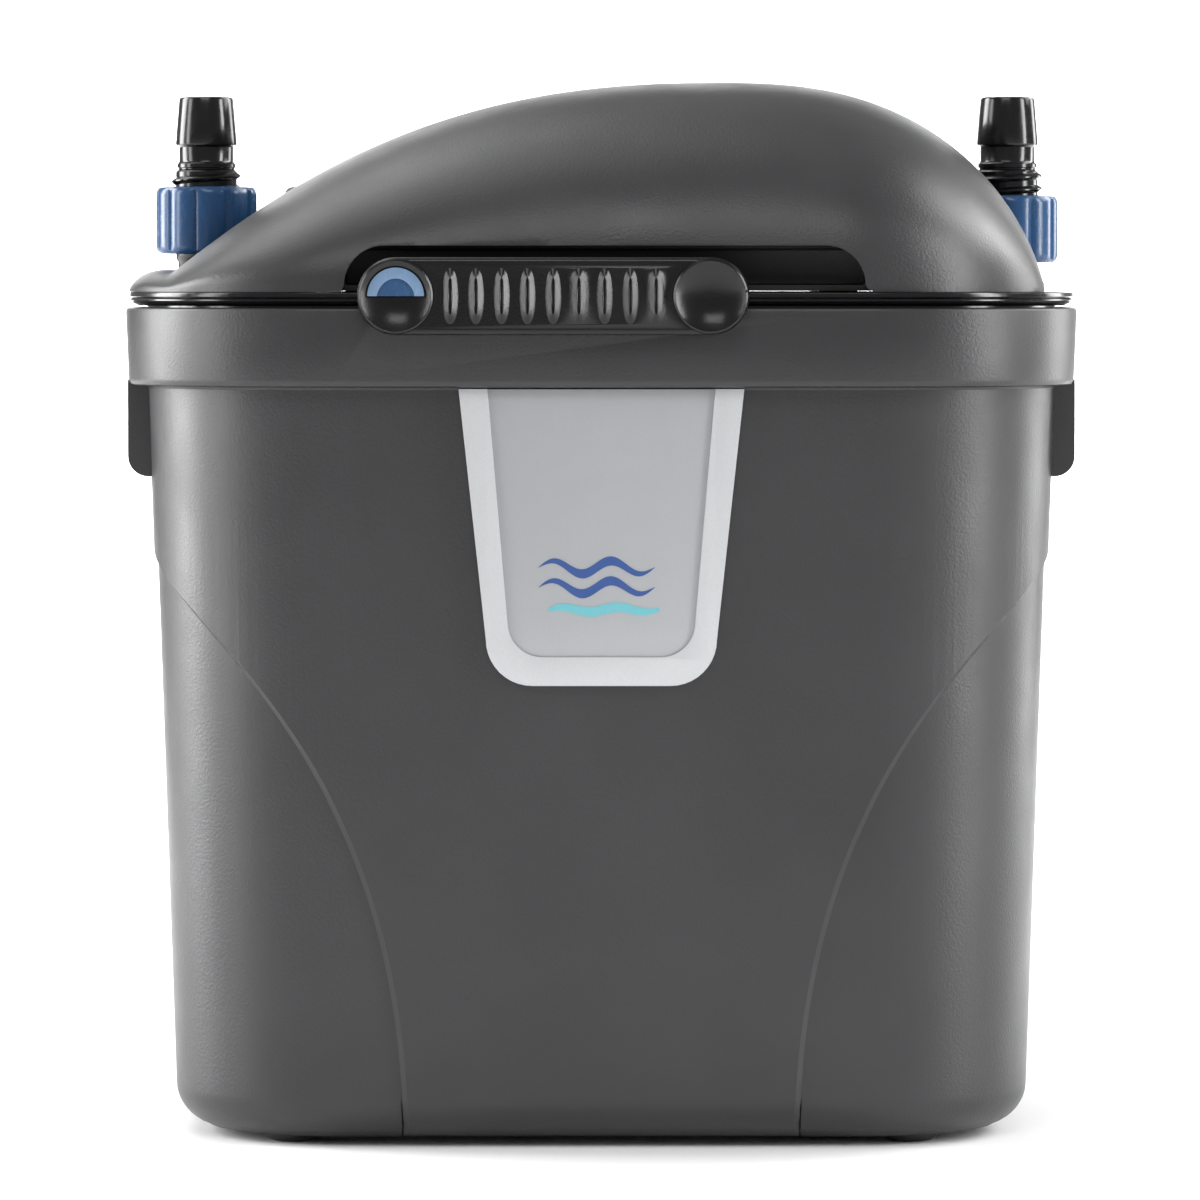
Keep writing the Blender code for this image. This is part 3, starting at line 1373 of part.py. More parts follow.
def main():
    clear_scene()
    grey = material("moulded_grey", (0.075, 0.075, 0.078), 0.42)
    black = material("moulded_black", (0.018, 0.018, 0.020), 0.38)
    gloss_black = material("glossy_black", (0.010, 0.010, 0.012), 0.16)
    blue = material("connector_blue", (0.035, 0.115, 0.260), 0.25)
    button_blue = material("button_blue", (0.110, 0.250, 0.430), 0.30)
    silver = material("badge_silver", (0.62, 0.63, 0.65), 0.40)
    panel = material("badge_grey", (0.42, 0.43, 0.45), 0.38)
    rubber = material("rubber", (0.015, 0.015, 0.015), 0.60)
    basket = material("basket_grey", (0.16, 0.17, 0.18), 0.45)
    coarse = material("coarse_foam", (0.030, 0.080, 0.160), 0.95)
    fine = material("fine_foam", (0.100, 0.110, 0.120), 0.95)
    floss = material("polishing_floss", (0.78, 0.78, 0.76), 0.95)
    steel = material("steel", (0.55, 0.55, 0.56), 0.30, metallic=1.0)
    core = material("core_steel", (0.30, 0.30, 0.32), 0.45, metallic=1.0)
    copper = material("coil_wrap", (0.45, 0.16, 0.05), 0.35)
    magnet = material("magnet", (0.03, 0.03, 0.032), 0.35)
    ceramic = material("ceramic", (0.80, 0.79, 0.75), 0.20)

    head = joint_empty("head_axis", (0.0, 0.0, RIM_TOP))
    lower_lift = joint_empty("lower_basket_axis", (0.0, 0.0, LOWER_TRAY_BOTTOM))
    upper_lift = joint_empty("upper_basket_axis", (0.0, 0.0, UPPER_TRAY_BOTTOM))
    spin = joint_empty("impeller_axis", (PUMP_X, 0.0, PLATE_TOP), head)
    slider = joint_empty("slide_axis", (0.0, SLIDE_BACK, SLIDE_MID), head)
    presser = joint_empty("button_axis", (DISH_LEFT_X, SLIDE_FRONT, SLIDE_MID), slider)

    make_canister(grey)
    make_feet(rubber)
    make_badge(silver, panel)
    make_downpipe(basket)
    make_baskets(basket, coarse, fine, floss, lower_lift, upper_lift)
    make_lid_plate(black, head)
    make_head_seal(rubber, head)
    make_hood(grey, head)
    make_latch_channel(black, head)
    make_screws(steel, head)
    make_cable_gland(rubber, head)
    make_stator(core, copper, head)
    make_pump(black, head)
    make_outlet_duct(black, head)
    make_inlet_duct(black, head)
    make_rotor(black, magnet, ceramic, rubber, head, spin)
    for side, tail, x, up in (
        ("left", "inlet_hose_tail", INLET_X, INLET_NUT_UP),
        ("right", "outlet_hose_tail", OUTLET_X, OUTLET_NUT_UP),
    ):
        make_hose_tail(tail, x, gloss_black, head)
        ring_axis = joint_empty(f"{side}_ring_axis", (x, PORT_Y, TAIL_BOTTOM + up), head)
        nut_axis = joint_empty(f"{side}_nut_axis", (x, PORT_Y, TAIL_BOTTOM + up), ring_axis)
        make_union_nut(side, x, up, blue, gloss_black, ring_axis, nut_axis)
    make_slide(black, slider)
    make_hooks(black, slider)
    make_button(button_blue, steel, presser, slider)


main()
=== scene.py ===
"""Looks of an aquarium canister filter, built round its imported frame. Metres, +Z up, -Y is the front."""

import json
import math

import bmesh
import bpy
from mathutils import Matrix, Vector


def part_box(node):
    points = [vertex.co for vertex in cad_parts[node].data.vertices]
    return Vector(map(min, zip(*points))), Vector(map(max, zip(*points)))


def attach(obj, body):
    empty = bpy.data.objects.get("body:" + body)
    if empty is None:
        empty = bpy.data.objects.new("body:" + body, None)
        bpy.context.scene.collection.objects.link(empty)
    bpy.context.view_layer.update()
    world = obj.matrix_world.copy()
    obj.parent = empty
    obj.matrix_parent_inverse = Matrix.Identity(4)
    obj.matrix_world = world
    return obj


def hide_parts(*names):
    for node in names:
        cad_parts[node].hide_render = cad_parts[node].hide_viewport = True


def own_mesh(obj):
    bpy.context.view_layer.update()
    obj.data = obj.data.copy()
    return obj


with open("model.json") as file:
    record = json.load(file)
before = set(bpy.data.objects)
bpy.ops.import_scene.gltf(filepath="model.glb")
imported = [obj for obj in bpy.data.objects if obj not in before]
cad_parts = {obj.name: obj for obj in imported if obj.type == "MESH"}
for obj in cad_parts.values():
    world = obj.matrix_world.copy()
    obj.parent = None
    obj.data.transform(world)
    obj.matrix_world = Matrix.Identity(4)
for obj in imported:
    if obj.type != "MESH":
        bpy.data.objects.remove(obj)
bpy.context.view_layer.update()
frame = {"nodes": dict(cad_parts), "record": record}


def middle_of(node):
    low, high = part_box(node)
    return (low + high) / 2


# Gap between pieces that touch, the closer seam under the hood, and clearance round what runs
GAP = 0.0003
SEAM = 0.00025
RUNNING = 0.0003

# Outline that the rim, the wall, the plate and the seal share: its corners turn about CORE
CANISTER_LOW, CANISTER_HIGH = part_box("canister")
RIM_HALF_X = CANISTER_HIGH.x
RIM_HALF_Y = CANISTER_HIGH.y
RIM_CORNER = 0.0480
CORE = Vector((RIM_HALF_X - RIM_CORNER, RIM_HALF_Y - RIM_CORNER))
CORNER_STEPS = 26

# Canister
BODY_BOTTOM = CANISTER_LOW.z
RIM_TOP = CANISTER_HIGH.z
RIM_PROUD = 0.0048
BAND_BOTTOM = RIM_TOP - 0.0171
BAND_DRAFT = 0.0006
RIM_LIP = 0.0040
WALL = 0.0026
BASE_ROUND = 0.0090
DRAFT = math.tan(math.radians(1.88))
SEAL_SHELF = RIM_TOP - 0.0148
FLOOR_TOP = BODY_BOTTOM + 0.0030
FLAP_DROP = 0.0202
FLAP_HALF_LENGTH = 0.0320
FLAP_ROUND = 0.0045

# Arch pressed into each end, in lengths round the wall and up from the base
ARCH_REACH = 0.1065
ARCH_TOP = 0.1330
ARCH_POWER = 2.15
ARCH_SINK = 0.0009
ARCH_BANK = 0.0011
ARCH_WRAP_INSET = 0.0070

# Badge
BADGE_HALF_TOP = 0.0307
BADGE_HALF_BOTTOM = 0.0249
BADGE_HEIGHT = 0.0640
BADGE_CORNER = 0.0100
BADGE_THICK = 0.0016
BADGE_BORDER = 0.0062
PANEL_SUNK = 0.0004

# Lid plate, and the screws that join the hood to it
PLATE = 0.0030
PLUG_WALL = 0.0028
WELL_CLEAR = 0.0010
WELL_WALL = 0.0018
SCREWS = [f"hood_screw_{end}_{side}" for end in ("front", "rear") for side in ("left", "right")]
SCREW_HOLE = 0.0017
BOSS_RADIUS = 0.0038

# Hood
HOOD_LOW, HOOD_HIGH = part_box("hood")
HOOD_BASE = HOOD_LOW.z
HOOD_RISE = HOOD_HIGH.z - HOOD_BASE
HOOD_PEAK_X = 0.0274
HOOD_HALF_DEPTH = -HOOD_LOW.y
HOOD_DECK = 0.0046
HOOD_WALL = 0.0025
HOOD_DEPTH_POWER = 2.3
HOOD_SLOPE_POWER = 2.42
HOOD_END_POWER = 2.5
HOOD_END_ROUND = 1.6
WINDOW_LEFT = -0.0552
WINDOW_RIGHT = 0.0567
WINDOW_HEIGHT = 0.0097
WINDOW_CORNER = 0.0085
WINDOW_FLARE = 0.0016
LEAD_HOLE = 0.0042

# Connectors
INLET = middle_of("inlet_hose_tail")
OUTLET = middle_of("outlet_hose_tail")
PORT_Y = INLET.y
HOSE_BORE = 0.0045
PORT_RADIUS = 0.0089
TAIL_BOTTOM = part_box("inlet_hose_tail")[0].z
TAIL_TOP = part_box("inlet_hose_tail")[1].z
THREAD_PITCH = 0.00285
THREAD_RADIUS = 0.0080
THREAD_CORE = 0.0070

# Slide lock
SLIDE_LOW, SLIDE_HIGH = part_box("lock_slide")
SLIDE_TOP = SLIDE_HIGH.z
SLIDE_BOTTOM = SLIDE_LOW.z
SLIDE_MID = (SLIDE_TOP + SLIDE_BOTTOM) / 2
SLIDE_END = (SLIDE_TOP - SLIDE_BOTTOM) / 2
SLIDE_FRONT = SLIDE_LOW.y
SLIDE_THICK = 0.0050
SLIDE_TRAVEL = 0.0225
SLIDE_SUNK = 0.0010
SLIDE_BACK = SLIDE_FRONT + SLIDE_THICK
DISH_LEFT_X = SLIDE_LOW.x + SLIDE_END
DISH_RIGHT_X = SLIDE_HIGH.x - SLIDE_END
DISH_RADIUS = 0.0075
DISH_DEPTH = 0.0026
DISH_POWER = 2.4
RIB_COUNT = 9
RIB_PITCH = 0.0055

# CAD pieces shown with their own shape, made smooth, and the body that each rides on
SMOOTHED = {
    "lower_basket": "lower_basket",
    "upper_basket": "upper_basket",
    "basket_handle": "upper_basket",
    "inlet_duct": "head",
    "outlet_duct": "head",
    "pump_housing": "head",
    "intake_screen": "head",
}


# Materials


class Shader:
    """A Principled material and short calls for its nodes. Patterns lie in object space."""

    def __init__(self, name, roughness=0.4, **sockets):
        self.material = bpy.data.materials.new(name)
        self.material.use_nodes = True
        self.tree = self.material.node_tree
        self.principled = self.tree.nodes["Principled BSDF"]
        self.principled.inputs["Roughness"].default_value = roughness
        for socket, value in sockets.items():
            self.principled.inputs[socket.replace("_", " ")].default_value = value
        self.place = self.add("ShaderNodeTexCoord").outputs["Object"]
        self.normal = None

    def add(self, kind, **values):
        node = self.tree.nodes.new(kind)
        for name, value in values.items():
            if hasattr(node, name):
                setattr(node, name, value)
            else:
                node.inputs[name.replace("_", " ")].default_value = value
        return node

    def link(self, out, into):
        self.tree.links.new(out, into)

    def noise(self, scale, detail=3.0, roughness=0.5, stretch=None):
        node = self.add("ShaderNodeTexNoise", Scale=scale, Detail=detail, Roughness=roughness)
        place = self.place
        if stretch:
            mapping = self.add("ShaderNodeMapping", Scale=stretch)
            self.link(place, mapping.inputs["Vector"])
            place = mapping.outputs["Vector"]
        self.link(place, node.inputs["Vector"])
        return node.outputs["Fac"]

    def cells(self, scale):
        node = self.add("ShaderNodeTexVoronoi", Scale=scale, feature="F1")
        self.link(self.place, node.inputs["Vector"])
        return node.outputs["Distance"]

    def bands(self, scale, direction="Z", distortion=0.0):
        node = self.add(
            "ShaderNodeTexWave", Scale=scale, Distortion=distortion, bands_direction=direction
        )
        self.link(self.place, node.inputs["Vector"])
        return node.outputs["Fac"]

    def spread(self, factor, low, high):
        """A number that runs from low to high over the middle of the factor."""
        node = self.add("ShaderNodeMapRange")
        for name, value in (("From Min", 0.3), ("From Max", 0.7), ("To Min", low), ("To Max", high)):
            node.inputs[name].default_value = value
        self.link(factor, node.inputs["Value"])
        return node.outputs["Result"]

    def colours(self, factor, *stops):
        """Base colour from a ramp of (position, colour) stops."""
        ramp = self.add("ShaderNodeValToRGB")
        elements = ramp.color_ramp.elements
        while len(elements) < len(stops):
            elements.new(0.5)
        for element, (position, colour) in zip(elements, stops):
            element.position = position
            element.color = (*colour, 1.0)
        self.link(factor, ramp.inputs["Fac"])
        self.link(ramp.outputs["Color"], self.principled.inputs["Base Color"])
        return self

    def roughen(self, factor, low, high):
        self.link(self.spread(factor, low, high), self.principled.inputs["Roughness"])
        return self

    def bump(self, height, distance, strength=1.0):
        node = self.add("ShaderNodeBump", Distance=distance, Strength=strength)
        self.link(height, node.inputs["Height"])
        if self.normal:
            self.link(self.normal, node.inputs["Normal"])
        self.normal = node.outputs["Normal"]
        self.link(self.normal, self.principled.inputs["Normal"])
        return self


def grained_plastic(name, colour, roughness, grain=0.00005, specular=0.5):
    """Moulded plastic with a spark-eroded grain, a little uneven in colour and in gloss."""
    vary = 0.12
    made = Shader(name, roughness, Specular_IOR_Level=specular)
    cloud = made.noise(22.0, 3.0)
    dark = [channel * (1 - vary) for channel in colour]
    light = [channel * (1 + vary) for channel in colour]
    made.colours(cloud, (0.3, dark), (0.7, light))
    made.roughen(made.noise(60.0, 4.0), roughness - 0.04, roughness + 0.05)
    made.bump(made.noise(1700.0, 2.0, 0.6), grain, 0.8)
    made.bump(made.noise(14.0, 1.0), 0.0004, 0.25)
    return made.material


def glossy_plastic(name, colour, roughness, **sockets):
    """Polished plastic with slight waves and fine scuffs from handling."""
    vary = 0.10
    made = Shader(name, roughness, **sockets)
    dark = [channel * (1 - vary) for channel in colour]
    light = [channel * (1 + vary) for channel in colour]
    made.colours(made.noise(90.0, 3.0), (0.3, dark), (0.7, light))
    made.roughen(made.noise(700.0, 5.0, 0.7, (1.0, 1.0, 0.3)), roughness - 0.04, roughness + 0.10)
    made.bump(made.noise(120.0, 2.0), 0.0001, 0.3)
    return made.material


def silver_paint(name, colour, flake=0.05):
    """Fine metallic paint: a bright base with small flakes."""
    made = Shader(name, 0.40, Metallic=0.15, Coat_Weight=0.25, Coat_Roughness=0.25)
    flakes = made.cells(4200.0)
    dim = [channel * (1 - flake) for channel in colour]
    bright = [min(channel * (1 + flake), 1.0) for channel in colour]
    made.colours(flakes, (0.1, bright), (0.6, dim))
    made.roughen(made.noise(300.0), 0.36, 0.46)
    made.bump(made.noise(1500.0, 2.0), 0.00002, 0.4)
    return made.material


def seal_rubber(name):
    """Matt black rubber with a little bloom."""
    colour = (0.016, 0.016, 0.017)
    made = Shader(name, 0.6, Specular_IOR_Level=0.4)
    made.colours(made.noise(180.0, 4.0), (0.3, colour), (0.75, [channel * 1.8 for channel in colour]))
    made.roughen(made.noise(400.0, 4.0), 0.52, 0.72)
    made.bump(made.noise(1100.0, 3.0), 0.00006, 0.7)
    return made.material


def open_foam(name, colour, cell):
    """Reticulated foam: pale struts, with painted shade in the cells between them."""
    made = Shader(name, 0.95, Specular_IOR_Level=0.15)
    holes = made.cells(cell)
    # Painted shade: the cells take a quarter of the foam's colour, standing in for the shade inside the
    # pores.
    pore_shade = [channel * 0.25 for channel in colour]
    made.colours(holes, (0.12, pore_shade), (0.45, colour))
    made.bump(holes, 0.0009, 0.9)
    made.bump(made.noise(cell * 3, 3.0), 0.0003, 0.6)
    return made.material


def fibre_floss(name, colour):
    """Matted polyester fibre."""
    made = Shader(name, 0.98, Specular_IOR_Level=0.1, Sheen_Weight=0.4)
    strands = made.noise(900.0, 6.0, 0.7, (1.0, 1.0, 0.25))
    made.colours(strands, (0.3, [channel * 0.72 for channel in colour]), (0.7, colour))
    made.bump(strands, 0.0008, 0.8)
    return made.material


def brushed_metal(name, colour):
    """Bright metal drawn or brushed along Z."""
    roughness = 0.28
    made = Shader(name, roughness, Metallic=1.0)
    streaks = made.noise(900.0, 3.0, 0.5, (0.05, 0.05, 1.0))
    made.colours(streaks, (0.3, [channel * 0.85 for channel in colour]), (0.7, colour))
    made.roughen(streaks, roughness - 0.06, roughness + 0.12)
    made.bump(streaks, 0.00002, 0.4)
    return made.material


def laminated_steel(name):
    """A stack of thin varnished sheets."""
    made = Shader(name, 0.45, Metallic=0.9)
    sheets = made.bands(620.0, "Z")
    made.colours(sheets, (0.2, (0.05, 0.05, 0.055)), (0.6, (0.30, 0.30, 0.32)))
    made.roughen(made.noise(500.0), 0.38, 0.55)
    made.bump(sheets, 0.00015, 0.8)
    return made.material


def wound_tape(name):
    """Varnished tape wrapped round a coil."""
    made = Shader(name, 0.35, Coat_Weight=0.5)
    wraps = made.bands(160.0, "X", 0.6)
    made.colours(wraps, (0.15, (0.22, 0.07, 0.02)), (0.7, (0.50, 0.19, 0.06)))
    made.roughen(made.noise(350.0), 0.28, 0.45)
    made.bump(wraps, 0.0003, 0.7)
    return made.material


def glazed_ceramic(name):
    """White ceramic, ground smooth."""
    made = Shader(name, 0.16, Coat_Weight=0.6)
    made.colours(made.noise(260.0, 3.0), (0.3, (0.74, 0.73, 0.69)), (0.7, (0.83, 0.82, 0.78)))
    made.roughen(made.noise(900.0), 0.12, 0.24)
    made.bump(made.noise(1200.0), 0.00001, 0.3)
    return made.material


def make_materials():
    """Every finish, by the name of its slot or its use."""
    return {
        "grey_plastic": grained_plastic(
            "moulded_grey_plastic", (0.032, 0.032, 0.034), 0.37, 0.00008
        ),
        "black_plastic": grained_plastic(
            "moulded_black_plastic", (0.011, 0.011, 0.012), 0.34, 0.00009
        ),
        "slide_black": grained_plastic(
            "slide_black_plastic", (0.005, 0.005, 0.006), 0.24, 0.00003, 0.42
        ),
        "gloss_black": glossy_plastic("polished_black_plastic", (0.004, 0.004, 0.005), 0.15),
        # Painted shade: a darker black than the other black plastic, for the channel seen through the
        # window, standing in for the shade inside it.
        "shadow_black": grained_plastic("channel_painted_shade_black", (0.004, 0.004, 0.004), 0.55),
        "connector_blue": glossy_plastic(
            "nut_blue_plastic",
            (0.016, 0.063, 0.160),
            0.22,
            Subsurface_Weight=0.10,
            Subsurface_Scale=0.002,
        ),
        "button_blue": glossy_plastic("button_blue_plastic", (0.030, 0.085, 0.190), 0.24),
        "button_rim": glossy_plastic("button_pale_blue_plastic", (0.17, 0.27, 0.42), 0.22),
        "badge_silver": silver_paint("badge_silver_paint", (0.58, 0.59, 0.605)),
        "badge_grey": silver_paint("badge_grey_film", (0.40, 0.41, 0.425), 0.03),
        "emblem_blue": silver_paint("emblem_blue_ink", (0.030, 0.085, 0.290), 0.04),
        "emblem_teal": silver_paint("emblem_teal_ink", (0.16, 0.50, 0.56), 0.04),
        "seal_rubber": seal_rubber("seal_rubber"),
        "basket_grey": grained_plastic("basket_plastic", (0.10, 0.105, 0.112), 0.42, 0.00004),
        "blue_foam": open_foam("coarse_blue_foam", (0.035, 0.10, 0.21), 420.0),
        "grey_foam": open_foam("fine_grey_foam", (0.12, 0.13, 0.14), 900.0),
        "white_floss": fibre_floss("polishing_floss", (0.78, 0.78, 0.75)),
        "spring_steel": brushed_metal("bright_steel", (0.62, 0.62, 0.63)),
        "core_steel": laminated_steel("laminated_core_steel"),
        "coil_wrap": wound_tape("coil_tape"),
        "magnet": grained_plastic("moulded_ferrite", (0.030, 0.030, 0.033), 0.36, 0.00003),
        "ceramic": glazed_ceramic("shaft_ceramic"),
    }


# Mesh helpers


def to_piece(bm, name, finish=None, sharp=32.0, merge=True):
    """An object from the bmesh, faces out, smooth with its sharp edges kept."""
    if merge:
        bmesh.ops.remove_doubles(bm, verts=bm.verts, dist=1e-6)
    bmesh.ops.recalc_face_normals(bm, faces=bm.faces)
    if bm.calc_volume(signed=True) < 0:
        bmesh.ops.reverse_faces(bm, faces=bm.faces)
    mesh = bpy.data.meshes.new(name)
    bm.to_mesh(mesh)
    bm.free()
    mesh.shade_smooth()
    mesh.set_sharp_from_angle(angle=math.radians(sharp))
    piece = bpy.data.objects.new(name, mesh)
    bpy.context.scene.collection.objects.link(piece)
    if finish:
        mesh.materials.append(finish)
    return piece


def apply_modifiers(piece, sharp=32.0):
    """Makes the piece's modifiers part of its mesh."""
    graph = bpy.context.evaluated_depsgraph_get()
    made = bpy.data.meshes.new_from_object(piece.evaluated_get(graph))
    piece.modifiers.clear()
    old = piece.data
    name = old.name
    piece.data = made
    bpy.data.meshes.remove(old)
    made.name = name
    made.shade_smooth()
    made.set_sharp_from_angle(angle=math.radians(sharp))


def carve(piece, *tools, operation="DIFFERENCE"):
    """Cuts the tools from the piece, or with UNION joins them to it, and removes them."""
    for tool in tools:
        step = piece.modifiers.new(tool.name, "BOOLEAN")
        step.operation = operation
        step.solver = "EXACT"
        step.object = tool
    apply_modifiers(piece)
    for tool in tools:
        bpy.data.objects.remove(tool)


def round_edges(piece, width, segments=2, angle=40.0):
    """Small radii on every edge sharper than the angle."""
    step = piece.modifiers.new("small radii", "BEVEL")
    step.width = width
    step.segments = segments
    step.limit_method = "ANGLE"
    step.angle_limit = math.radians(angle)
    step.harden_normals = False
    apply_modifiers(piece)


def show(piece, body, slot, *nodes):
    """The piece rides on a body and stands for the CAD nodes. The slot is not used."""
    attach(piece, body)
    if nodes:
        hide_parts(*nodes)
    return piece


def rounded_cap(bm, half_x, half_y, radius, z):
    """A flat face with round corners, in the XY plane."""
    bmesh.ops.create_grid(bm, x_segments=1, y_segments=1, size=1.0)
    bmesh.ops.scale(bm, vec=(half_x, half_y, 1.0), verts=bm.verts)
    bmesh.ops.bevel(
        bm,
        geom=bm.verts,
        offset=radius,
        affect="VERTICES",
        segments=CORNER_STEPS,
        profile=0.5,
        material=-1,
    )
    bmesh.ops.translate(bm, vec=(0.0, 0.0, z), verts=bm.verts)
    return bm.faces[:][0]


def place_round_core(verts, core, reach, z):
    """Moves an outline's points to a distance from the core rectangle that its corners turn about."""
    for vert in verts:
        near = Vector(
            (max(-core.x, min(core.x, vert.co.x)), max(-core.y, min(core.y, vert.co.y)))
        )
        out = vert.co.xy - near
        out.normalize()
        vert.co.xy = near + out * reach
        vert.co.z = z


def raise_profile(bm, face, core, profile):
    """Extrudes the face through a profile of (reach, z) and returns the last face."""
    for reach, z in profile:
        made = bmesh.ops.extrude_face_region(bm, geom=[face])["geom"]
        bmesh.ops.delete(bm, geom=[face], context="FACES_ONLY")
        face = next(part for part in made if isinstance(part, bmesh.types.BMFace))
        place_round_core(face.verts, core, reach, z)
    return face


def rim_solid(name, profile, finish=None):
    """A solid whose plan is the rim's outline, moved in by each profile point's inset."""
    bm = bmesh.new()
    inset, z = profile[0]
    bottom = rounded_cap(bm, RIM_HALF_X - inset, RIM_HALF_Y - inset, RIM_CORNER - inset, z)
    made = bmesh.ops.extrude_face_region(bm, geom=[bottom], use_keep_orig=True)["geom"]
    face = next(part for part in made if isinstance(part, bmesh.types.BMFace))
    first_inset, first_z = profile[1]
    place_round_core(face.verts, CORE, RIM_CORNER - first_inset, first_z)
    raise_profile(bm, face, CORE, [(RIM_CORNER - inset, z) for inset, z in profile[2:]])
    return to_piece(bm, name, finish)


def arc(centre_r, centre_z, radius, start, end, steps=5):
    """Points of an arc in a profile, from one angle in degrees to another."""
    points = []
    for step in range(steps + 1):
        angle = math.radians(start + (end - start) * step / steps)
        points.append((centre_r + radius * math.cos(angle), centre_z + radius * math.sin(angle)))
    return points


def turned(profile, name, finish=None, at=(0.0, 0.0, 0.0), steps=64, along="Z"):
    """A closed profile of (radius, height) points turned about an axis through a point."""
    bm = bmesh.new()
    verts = [bm.verts.new((radius, 0.0, z)) for radius, z in profile]
    edges = [bm.edges.new(pair) for pair in zip(verts, verts[1:] + verts[:1])]
    bmesh.ops.spin(
        bm,
        geom=verts + edges,
        cent=(0.0, 0.0, 0.0),
        axis=(0.0, 0.0, 1.0),
        angle=2 * math.pi,
        steps=steps,
        use_merge=True,
    )
    bmesh.ops.remove_doubles(bm, verts=bm.verts, dist=1e-6)
    flat = [face for face in bm.faces if face.calc_area() < 1e-13]
    bmesh.ops.delete(bm, geom=flat, context="FACES")
    turn = {"Z": Matrix.Identity(4), "Y": Matrix.Rotation(-math.pi / 2, 4, "X")}[along]
    bmesh.ops.transform(bm, matrix=Matrix.Translation(at) @ turn, verts=bm.verts)
    return to_piece(bm, name, finish)


def prism(outline, low, high, name, finish=None, along="Z"):
    """A flat outline, as a face, extruded along an axis. Along Y its points are (x, z)."""
    def spot(a, b, level):
        return {"Z": (a, b, level), "Y": (a, level, b), "X": (level, a, b)}[along]

    bm = bmesh.new()
    face = bm.faces.new([bm.verts.new(spot(a, b, low)) for a, b in outline])
    made = bmesh.ops.extrude_face_region(bm, geom=[face], use_keep_orig=True)["geom"]
    verts = [part for part in made if isinstance(part, bmesh.types.BMVert)]
    step = Vector(spot(0.0, 0.0, high - low))
    bmesh.ops.translate(bm, vec=step, verts=verts)
    return to_piece(bm, name, finish)


def rod(name, x, y, radius, low, high, steps=48):
    """A plain upright cylinder."""
    profile = [(0.0, low), (radius, low), (radius, high), (0.0, high)]
    return turned(profile, name, at=(x, y, 0.0), steps=steps)


def block(low, high, name, finish=None, radius=0.0):
    """A box between two corners, its edges rounded."""
    bm = bmesh.new()
    low, high = Vector(low), Vector(high)
    bmesh.ops.create_cube(bm, size=1.0)
    bmesh.ops.scale(bm, vec=high - low, verts=bm.verts)
    bmesh.ops.translate(bm, vec=(low + high) / 2, verts=bm.verts)
    if radius:
        bmesh.ops.bevel(
            bm, geom=bm.edges, offset=radius, affect="EDGES", segments=3, profile=0.5, material=-1
        )
    return to_piece(bm, name, finish)


# Canister


def body_inset(z):
    """How far the canister's wall is in from the rim at a height."""
    return RIM_PROUD + (BAND_BOTTOM - z) * DRAFT


def wrap_point(inset, along):
    """A point (x, y) a length round the wall from the middle of the +X end."""
    radius = RIM_CORNER - inset
    straight = CORE.y
    turn_length = (RIM_CORNER - ARCH_WRAP_INSET) * math.pi / 2
    length = abs(along)
    if length <= straight:
        x, y = CORE.x + radius, length
    elif length <= straight + turn_length:
        angle = (length - straight) / (RIM_CORNER - ARCH_WRAP_INSET)
        x, y = CORE.x + radius * math.cos(angle), CORE.y + radius * math.sin(angle)
    else:
        x, y = CORE.x - (length - straight - turn_length), CORE.y + radius
    return x, math.copysign(y, along)


def wall_inset(z):
    """The wall's inset with the rounded base taken in."""
    below = BODY_BOTTOM + BASE_ROUND - z
    if below <= 0:
        return body_inset(z)
    return body_inset(z) + BASE_ROUND - math.sqrt(max(BASE_ROUND**2 - below**2, 0.0))


def arch_tool(side):
    """The skin that the arch takes off one end. Its edge is a sloping bank, not a sharp step."""
    columns, rows, base_rows = 150, 42, 16
    out, low = 0.0030, -0.0020
    bm = bmesh.new()
    bmesh.ops.create_grid(bm, x_segments=columns, y_segments=rows, size=0.5)
    inner = bm.verts[:]
    made = bmesh.ops.duplicate(bm, geom=bm.verts[:] + bm.edges[:] + bm.faces[:])
    outer = [part for part in made["geom"] if isinstance(part, bmesh.types.BMVert)]
    for verts, sink in ((inner, ARCH_SINK), (outer, -out)):
        bank = -ARCH_BANK if sink > 0 else ARCH_BANK * out / ARCH_SINK
        for vert in verts:
            angle = math.pi * (vert.co.x + 0.5)
            across = math.copysign(abs(math.cos(angle)) ** (2 / ARCH_POWER), math.cos(angle))
            high = max(math.sin(angle), 0.0) ** (2 / ARCH_POWER) * (ARCH_TOP + bank)
            row = (vert.co.y + 0.5) * rows
            knee = min(BODY_BOTTOM + BASE_ROUND, (low + high) / 2)
            if row <= base_rows:
                z = low + (knee - low) * row / base_rows
            else:
                z = knee + (high - knee) * (row - base_rows) / (rows - base_rows)
            inset = wall_inset(max(z, BODY_BOTTOM + 0.0003)) + sink
            x, y = wrap_point(inset, across * (ARCH_REACH + bank))
            vert.co = (side * x, y, z)
    edges = [edge for edge in bm.edges if edge.is_boundary]
    bmesh.ops.bridge_loops(bm, edges=edges)
    return to_piece(bm, f"arch_tool_{side}", merge=False)


def flap_solid(side):
    """The hand hold that reaches down from the rim at one end."""
    outer = RIM_HALF_X - BAND_DRAFT
    inner = RIM_HALF_X - RIM_PROUD - WALL * 0.7
    low = BAND_BOTTOM - FLAP_DROP
    outline = [(inner, low)]
    outline += arc(outer - FLAP_ROUND, low + FLAP_ROUND, FLAP_ROUND, -90, 0, 8)
    outline += [(outer, (BAND_BOTTOM + SEAL_SHELF) / 2), (inner, (BAND_BOTTOM + SEAL_SHELF) / 2)]
    outline = [(side * x, z) for x, z in outline]
    return prism(outline, -FLAP_HALF_LENGTH, FLAP_HALF_LENGTH, f"flap_{side}", along="Y")


